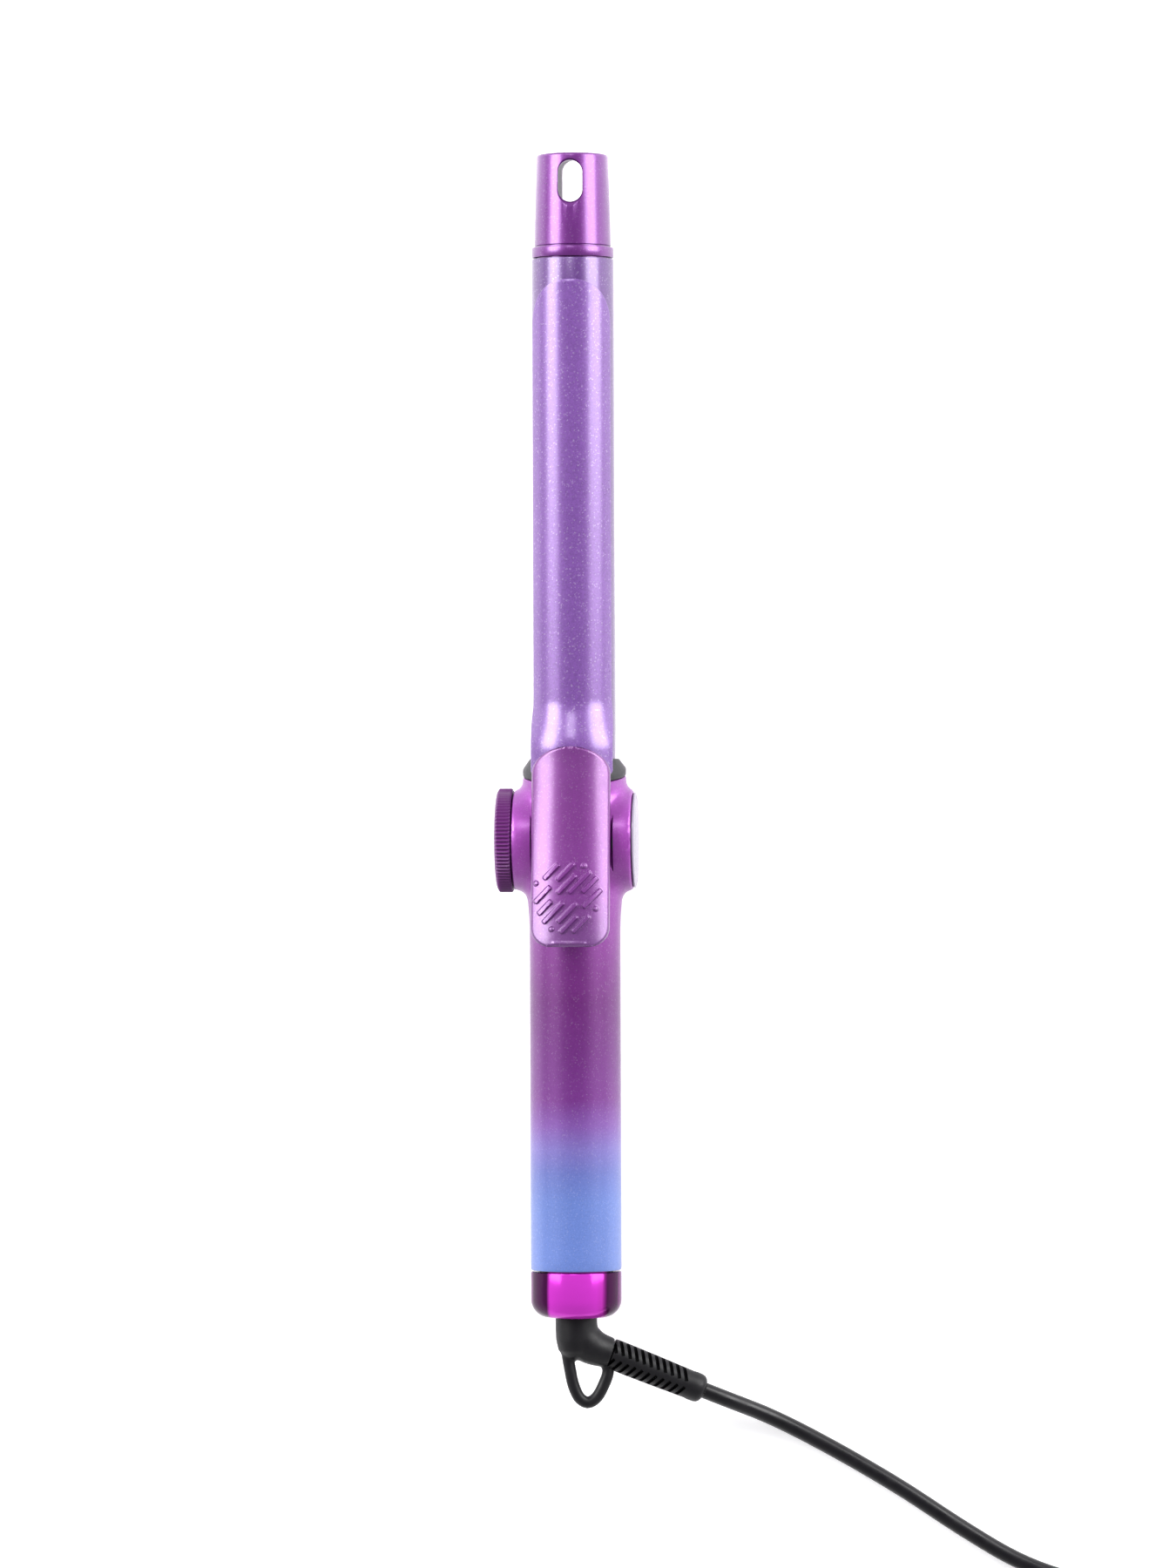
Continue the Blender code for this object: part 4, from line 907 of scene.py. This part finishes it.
def hub_distance(x, y, z):
    neck = sum(table(NECK_R, y + d) for d in (-1.6, -0.8, 0.0, 0.8, 1.6)) / 5.0
    body = np.hypot(x, z) - neck
    mid, half = (-18.7 + 18.2) / 2, (18.7 + 18.2) / 2
    crown = 15.6 - 0.022 * np.minimum(np.abs(np.abs(x) - 14.8), 3.2) ** 2
    a, b = np.abs(x - mid) - half + RIM, np.hypot(y, z) - crown + RIM
    hub = np.minimum(np.maximum(a, b), 0) + np.hypot(np.maximum(a, 0), np.maximum(b, 0)) - RIM
    h = np.clip(0.5 + 0.5 * (hub - body) / FILLET, 0, 1)
    return hub * (1 - h) + body * h - FILLET * h * (1 - h)


def hub_radius(y, angle):
    lo, hi = np.full(np.broadcast(y, angle).shape, 5.0), np.full(np.broadcast(y, angle).shape, 26.0)
    c, s = np.cos(angle), np.sin(angle)
    for _ in range(34):
        r = (lo + hi) / 2
        inside = hub_distance(r * c, y, r * s) < 0
        lo, hi = np.where(inside, r, lo), np.where(inside, hi, r)
    return lo


def half_shell(side):
    ys = [19.75, 19.6, 19.2, 18.6, *np.linspace(17.9, -26.0, 110), *np.linspace(-27.5, -132.4, 40), -132.8, -133.0]
    corner = math.atan2(14.0, 18.0)
    angles = [0.0, 0.02, *np.linspace(0.05, corner, 34), *np.linspace(corner + 0.02, math.pi - corner - 0.02, 62), *np.linspace(math.pi - corner, math.pi - 0.05, 34), math.pi - 0.02, math.pi]
    Y, A = np.meshgrid(np.array(ys), np.array(angles), indexing="ij")
    R = hub_radius(Y, A * side)
    # the front rim's and the seam rim's small roundings
    R = R - 0.35 * (1 - smooth((19.75 - Y) / 0.5)) - 0.2 * (1 - smooth((Y + 133.0) / 0.35))
    rows = []
    for i, y in enumerate(ys):
        lean = max(0.0, 1 - max(0.0, 19.75 - y) / 4.5)
        row = []
        for j in range(len(angles)):
            x, z = R[i, j] * math.cos(A[i, j]), R[i, j] * math.sin(A[i, j]) * side
            z = side * max(abs(z), 0.15)
            row.append(Vector((x, y - 0.1625 * z * lean, z)))
        rows.append(row)
    return closed_grid(rows, wrap_v=True, cap=True)


body_cut = turned([(40, 13.4), (-14.5, 13.4), (-19.0, 11.9), (-140, 11.9)], n=72)
for name, side in (("housing_front", 1), ("housing_rear", -1)):
    shell = new_object(f"shell_{name[8:]}", half_shell(side), triangles=True)
    cuts = [
        turned([(40, 13.4), (-14.5, 13.4), (-19.0, 11.9), (-140, 11.9)], n=72),
        turned([(-16.5, 13.2), (30.0, 13.2)], "X", 72),
        rod(-25, -15, 4.1, "X", 32, c=0.01),
    ]
    if side > 0:
        scoop = []
        for y in np.linspace(-22.0, 12.0, 24):
            row = []
            for x in np.linspace(-12.8, 12.8, 33):
                z = float(table(LEVER_TOP, y) - table(LEVER_R, y) + math.sqrt(max(0.0, (table(LEVER_R, y) - 2.0) ** 2 - x * x)))
                q = Matrix.Rotation(math.radians(13.2), 3, "X") @ (Vector((x, y, z - 0.5)) - PIVOT)
                row.append(Vector((x, 0, 0)) + Vector((0, q.y, q.z)) + PIVOT)
            scoop.append(row + [Vector((p.x, p.y, 40.0)) for p in row[::-1]])
        cuts = [rod(-13.1, 13.1, 1.45, "X", 28, tuple(PIVOT), c=0.01)] + cuts
        cuts += [box((-10.6, 3.4, 4.0), (10.6, 30.0, 20.0)), closed_grid(scoop, wrap_v=True, cap=True)]
    else:
        cuts += [box((-6.3, 1.5, -19.0), (6.3, 17.2, -8.0), 0.5, 2), rod(-7.7, 7.7, 0.95, "X", 20, (0, 9.0, -12.7), c=0.01)]
    for y in (-33.0, -116.0):
        if side > 0:
            cuts += [("UNION", rod(0.5, 12.6, 3.0, "Z", 32, (0, y, 0), c=0.01)), ("DIFFERENCE", rod(-0.5, 7.6, 1.3, "Z", 24, (0, y, 0), c=0.01))]
        else:
            cuts += [("UNION", rod(-12.9, -0.5, 3.6, "Z", 32, (0, y, 0), c=0.01)), ("DIFFERENCE", turned([(-16, 3.3), (-14.0, 2.9), (-13.6, 2.7), (-10.6, 2.7), (-10.55, 1.4), (1.0, 1.4)], "Z", 32, (0, y, 0)))]
    cut(shell, cuts)
    piece(f"shell_{name[8:]}", shell, SHELL, "iron_body", [name], 34)

# ------------------------------------------------------------------ display cover, dial
lens_profile = [(16.9, 11.6), (16.9, 12.7), (17.0, 12.85), (18.4, 12.85), (18.4, 14.45), (18.48, 14.65), (18.62, 14.75), (18.85, 14.75), (19.0, 14.6), (19.06, 14.3), (18.98, 14.05), (18.9, 13.85), (18.96, 13.6), (19.1, 13.2)]
lens_profile += [(19.1 + 0.6 * (1 - (r / 13.0) ** 2), r) for r in (12.4, 11.2, 9.6, 7.6, 5.4, 3.0, 1.0, 0.2)]
lens = new_object("display_cover", turned(lens_profile, "X", 120))
piece("display_cover", lens, LENS, "iron_body", ["display_lens"], 25)

TEETH, PER = 84, 6
rows = []
for x, r, depth in (
    (-19.0, 15.1, 0.0), (-19.0, 15.4, 0.0), (-19.15, 15.6, 0.1), (-19.4, 15.72, 0.3), (-19.7, 15.7, 0.36), (-21.4, 15.7, 0.36), (-23.1, 15.7, 0.36),
    (-23.35, 15.6, 0.2), (-23.6, 15.3, 0.06), (-23.85, 14.8, 0.0), (-23.95, 14.3, 0.0), (-23.95, 13.6, 0.0), (-23.75, 13.3, 0.0), (-23.5, 13.1, 0.0), (-23.5, 3.0, 0.0), (-23.5, 0.4, 0.0),
):
    row = []
    for k in range(TEETH * PER):
        t = 2 * math.pi * k / (TEETH * PER)
        wave = math.cos(TEETH * t)
        q = r + depth * math.copysign(abs(wave) ** 0.6, wave)
        row.append(Vector((x, q * math.cos(t), q * math.sin(t))))
    rows.append(row)
dial = new_object("dial_wheel", closed_grid(rows, wrap_v=True, cap=True))
marks = [box((-23.9, 8.4, -0.45), (-23.2, 12.6, 0.45), 0.15, 1)]
cut(dial, [rod(-23.0, -17.0, 3.1, "X", 32, c=0.01), ("UNION", marks[0])])
piece("dial_wheel", dial, DIAL, "dial", ["temp_dial"], 40)

# ------------------------------------------------------------------ end cap
cap_profile = [(-126.5, 10.4), (-126.5, 11.4), (-126.65, 11.55), (-133.59, 11.55), (-133.6, 13.75), (-133.68, 13.95), (-133.9, 14.05), (-142.2, 14.05)]
cap_profile += [(-142.2 - 5.6 * math.sin(a), 14.05 - 5.6 + 5.6 * math.cos(a)) for a in np.linspace(0.12, 1.5, 14)]
cap_profile += [(-147.8, 7.3), (-147.68, 7.0), (-147.45, 6.9), (-145.3, 6.9), (-145.3, 8.9), (-143.4, 10.4)]
cap = new_object("end_cap_chrome", ring(cap_profile, n=144))
piece("end_cap_chrome", cap, CAP, "iron_body", ["end_cap"], 25)

# ------------------------------------------------------------------ swivel elbow with its hanging loop, then the boot
neck_profile = [(-123.4, 3.6), (-123.9, 4.0), (-142.6, 4.0), (-142.7, 8.4), (-144.6, 8.4), (-144.8, 6.5), (-152.0, 6.45), (-155.0, 6.3), (-158.0, 5.6), (-160.0, 3.9), (-161.0, 2.0), (-161.2, 0.6)]
elbow = new_object("swivel_moulding", turned(neck_profile, n=64), TURN, triangles=True)
arm_points = spline([(0, -146.5, 0), (0.1, -150.0, 0), (1.5, -154.2, 0), (5.2, -157.2, 0), tuple(boot_point(11.4))], 1.2)
arm_r = [float(np.interp(k / (len(arm_points) - 1), [0, 0.3, 0.6, 0.85, 1], [6.4, 6.3, 5.9, 5.1, 4.75])) for k in range(len(arm_points))]
LOOP = [(-3.4, -155.5), (-2.2, -163.0), (-0.8, -169.4), (1.1, -173.1), (3.5, -174.4), (6.1, -173.0), (8.3, -169.4), (9.9, -164.8), (9.2, -161.2)]
loop = spline([(x, y, 0.0) for x, y in LOOP], 1.0)
cut(elbow, [("UNION", swept(arm_points, arm_r, 40)), ("UNION", swept(loop, 1.9, 24))], turn=TURN)
remesh = elbow.modifiers.new("even", "REMESH")
remesh.mode, remesh.voxel_size, remesh.adaptivity = "VOXEL", 0.00042, 0.0
soft = elbow.modifiers.new("soft", "SMOOTH")
soft.factor, soft.iterations = 0.5, 5
bake_modifiers(elbow)
piece("swivel_moulding", elbow, BLACK, "cord_swivel", ["swivel_elbow"], 80)

s0, s1 = 11.6, 43.0
rows = []
for s, r in ((s0, 4.3), (s0 + 0.15, 4.65), (s0 + 0.5, 4.78), (s0 + 6, 4.78), (s0 + 14, 4.68), (s0 + 22, 4.5), (s1 - 5.0, 4.42), (s1 - 3.6, 4.55), (s1 - 2.0, 4.5), (s1 - 1.1, 4.25), (s1 - 0.5, 3.8), (s1 - 0.1, 3.2), (s1, 2.8)):
    rows.append([boot_point(s, r * math.cos(a), r * math.sin(a)) for a in (2 * math.pi * k / 64 for k in range(64))])
boot = new_object("boot_moulding", closed_grid(rows, wrap_v=True, cap=True), TURN, triangles=True)


def slot_box(s, width, across_lo, across_hi, slant, way):
    """A pocket from one side only: a web stays in the boot's middle plane."""
    bm = box((-width / 2, across_lo, min(0.7 * way, 6.5 * way)), (width / 2, across_hi, max(0.7 * way, 6.5 * way)), 0.18, 1)
    bmesh.ops.transform(bm, matrix=Matrix.Rotation(slant, 4, "Z"), verts=bm.verts)
    x = Vector((math.cos(BOOT_ANGLE), math.sin(BOOT_ANGLE), 0))
    turn = Matrix((x, Vector((-x.y, x.x, 0)), Vector((0, 0, 1)))).transposed().to_4x4()
    bmesh.ops.transform(bm, matrix=Matrix.Translation(boot_point(s)) @ turn, verts=bm.verts)
    return bm


slots = [slot_box(s0 + 1.2 + 2.38 * k, 1.15, 0.7, 5.2, math.radians(26), z) for k in range(11) for z in (1, -1)]
slots += [slot_box(s0 + 1.6 + 2.38 * k, 1.05, -5.4, -1.3, math.radians(-24), z) for k in range(11) for z in (1, -1)]
core = swept([boot_point(s) for s in (s0 + 0.4, s1 - 1.0)], 2.75, 32)
cut(boot, [("DIFFERENCE", joined(*slots)), ("UNION", core)], turn=TURN)
piece("boot_moulding", boot, BLACK, "cord_swivel", ["strain_relief"], 35)

# ------------------------------------------------------------------ stand
py, pz = 9.0, -12.7
arm = [(py + 2.4 * math.cos(a), pz + 2.4 * math.sin(a)) for a in np.linspace(math.radians(-75), math.radians(-285), 27)]
arm += [(12.6, -13.2), (14.8, -15.3), (17.0, -16.6), (18.4, -16.8), (24.0, -16.8), (24.0, -20.0), (16.2, -20.0), (14.0, -19.5), (12.4, -18.2)]
foot = rounded([(-5.9, 20.0), (-6.4, 24.0), (-11.5, 32.0), (-11.5, 76.0), (11.5, 76.0), (11.5, 32.0), (6.4, 24.0), (5.9, 20.0)], [0, 3.0, 3.0, 5.5, 5.5, 3.0, 3.0, 0], 7)
stand = new_object("stand_leg_moulding", prism(arm, -5.9, 5.9, "X"), triangles=True)
foot_bm = prism(foot, -20.0, -16.8, "Z")
lip = [e for e in foot_bm.edges if abs(e.verts[0].co.z - e.verts[1].co.z) < 1e-6]
bmesh.ops.bevel(foot_bm, geom=lip, offset=0.5, segments=3, affect="EDGES", profile=0.5)
window = rounded([(-6.5, 36.0), (-6.5, 66.0), (6.5, 66.0), (6.5, 36.0)], 3.0, 6)
cut(stand, [("UNION", foot_bm), ("DIFFERENCE", rod(-9, 9, 1.05, "X", 24, (0, py, pz), c=0.01)), ("DIFFERENCE", prism(window, -17.4, -16.0, "Z"))])
piece("stand_leg_moulding", stand, CHARCOAL, "stand_leg", ["stand"], 35)

# ------------------------------------------------------------------ finishes of the CAD pieces that stay
KEEP = {
    STEEL: ["pivot_pin", "stand_pin", "clamp_spring", "lever_screw_1", "lever_screw_2", "housing_screw_1", "housing_screw_2", "heater_spring_left", "heater_spring_right", "thermal_fuse"],
    ALU: ["heat_spreader_front", "heat_spreader_rear", "potentiometer"],
    BRASS: ["pot_bushing", "pot_shaft", "slip_ring_live", "slip_ring_neutral", "brush_live", "brush_neutral"],
    CERAMIC: ["ptc_heater", "barrel_mount", "thermistor", "contact_holder", "board_fuse"],
    BOARD: ["control_board", "display_board"],
    CHIP: ["triac", "microcontroller", "display_digits"],
    FILM: ["film_capacitor"],
    RED: ["heater_lead_live", "mains_lead_live"],
    BLUE: ["heater_lead_neutral", "mains_lead_neutral"],
}
for mat, names in KEEP.items():
    for name in names:
        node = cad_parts[name]
        node.data.materials.clear()
        node.data.materials.append(mat)

# ------------------------------------------------------------------ floor, world, lights
rows = [[(x, y, -20.02) for x in np.linspace(-9000, 9000, 7)] for y in np.linspace(-9000, 9000, 7)]
bm = closed_grid(rows)
for f in bm.faces:
    if f.normal.z < 0:
        f.normal_flip()
floor = new_object("floor", bm)
fm = Nodes("pale_floor")
fm.set(Base_Color=fm.mix(fm.span(fm.noise(6.0, 3.0), 0.3, 0.7, 0.0, 1.0), (0.86, 0.86, 0.865, 1), (0.84, 0.84, 0.845, 1)), Roughness=0.9, Specular_IOR_Level=0.1, Emission_Color=(1, 1, 1, 1), Emission_Strength=0.4)
floor.data.materials.append(fm.mat)

world = bpy.data.worlds.new("studio")
SCENE.world = world
world.use_nodes = True
tree = world.node_tree
sky = tree.nodes["Background"]
coord = tree.nodes.new("ShaderNodeTexCoord")
split = tree.nodes.new("ShaderNodeSeparateXYZ")
tree.links.new(coord.outputs["Generated"], split.inputs[0])
ramp = tree.nodes.new("ShaderNodeValToRGB")
el = ramp.color_ramp.elements
el[0].position, el[0].color = 0.0, (0.76, 0.76, 0.77, 1)
el[1].position, el[1].color = 1.0, (0.22, 0.215, 0.23, 1)
mid = el.new(0.35)
mid.color = (0.66, 0.655, 0.67, 1)
mid = el.new(0.8)
mid.color = (0.34, 0.335, 0.35, 1)
tree.links.new(split.outputs["Z"], ramp.inputs[0])
tree.links.new(ramp.outputs[0], sky.inputs["Color"])
sky.inputs["Strength"].default_value = 1.25


def softbox(name, place, aim, wide, long, power, colour=(1, 1, 1)):
    lamp = bpy.data.lights.new(name, "AREA")
    lamp.shape = "RECTANGLE"
    lamp.size, lamp.size_y = wide, long
    lamp.energy, lamp.color = power, colour
    obj = bpy.data.objects.new(name, lamp)
    SCENE.collection.objects.link(obj)
    obj.visible_camera = False
    place, aim = W(place), W(aim)
    z = (place - aim).normalized()
    y = Vector((0, 1, 0))
    y = (y - z * y.dot(z)).normalized()
    x = y.cross(z)
    obj.matrix_world = Matrix([[x.x, y.x, z.x, place.x], [x.y, y.y, z.y, place.y], [x.z, y.z, z.z, place.z], [0, 0, 0, 1]])
    return obj


softbox("softbox_left", (-960, 560, 750), (0, 80, 0), 0.72, 0.86, 21.0)
softbox("softbox_right", (1080, 560, 570), (0, 80, 0), 0.84, 0.86, 20.5)
softbox("softbox_top", (-110, 880, 1210), (0, 0, 0), 0.42, 0.24, 3.4)
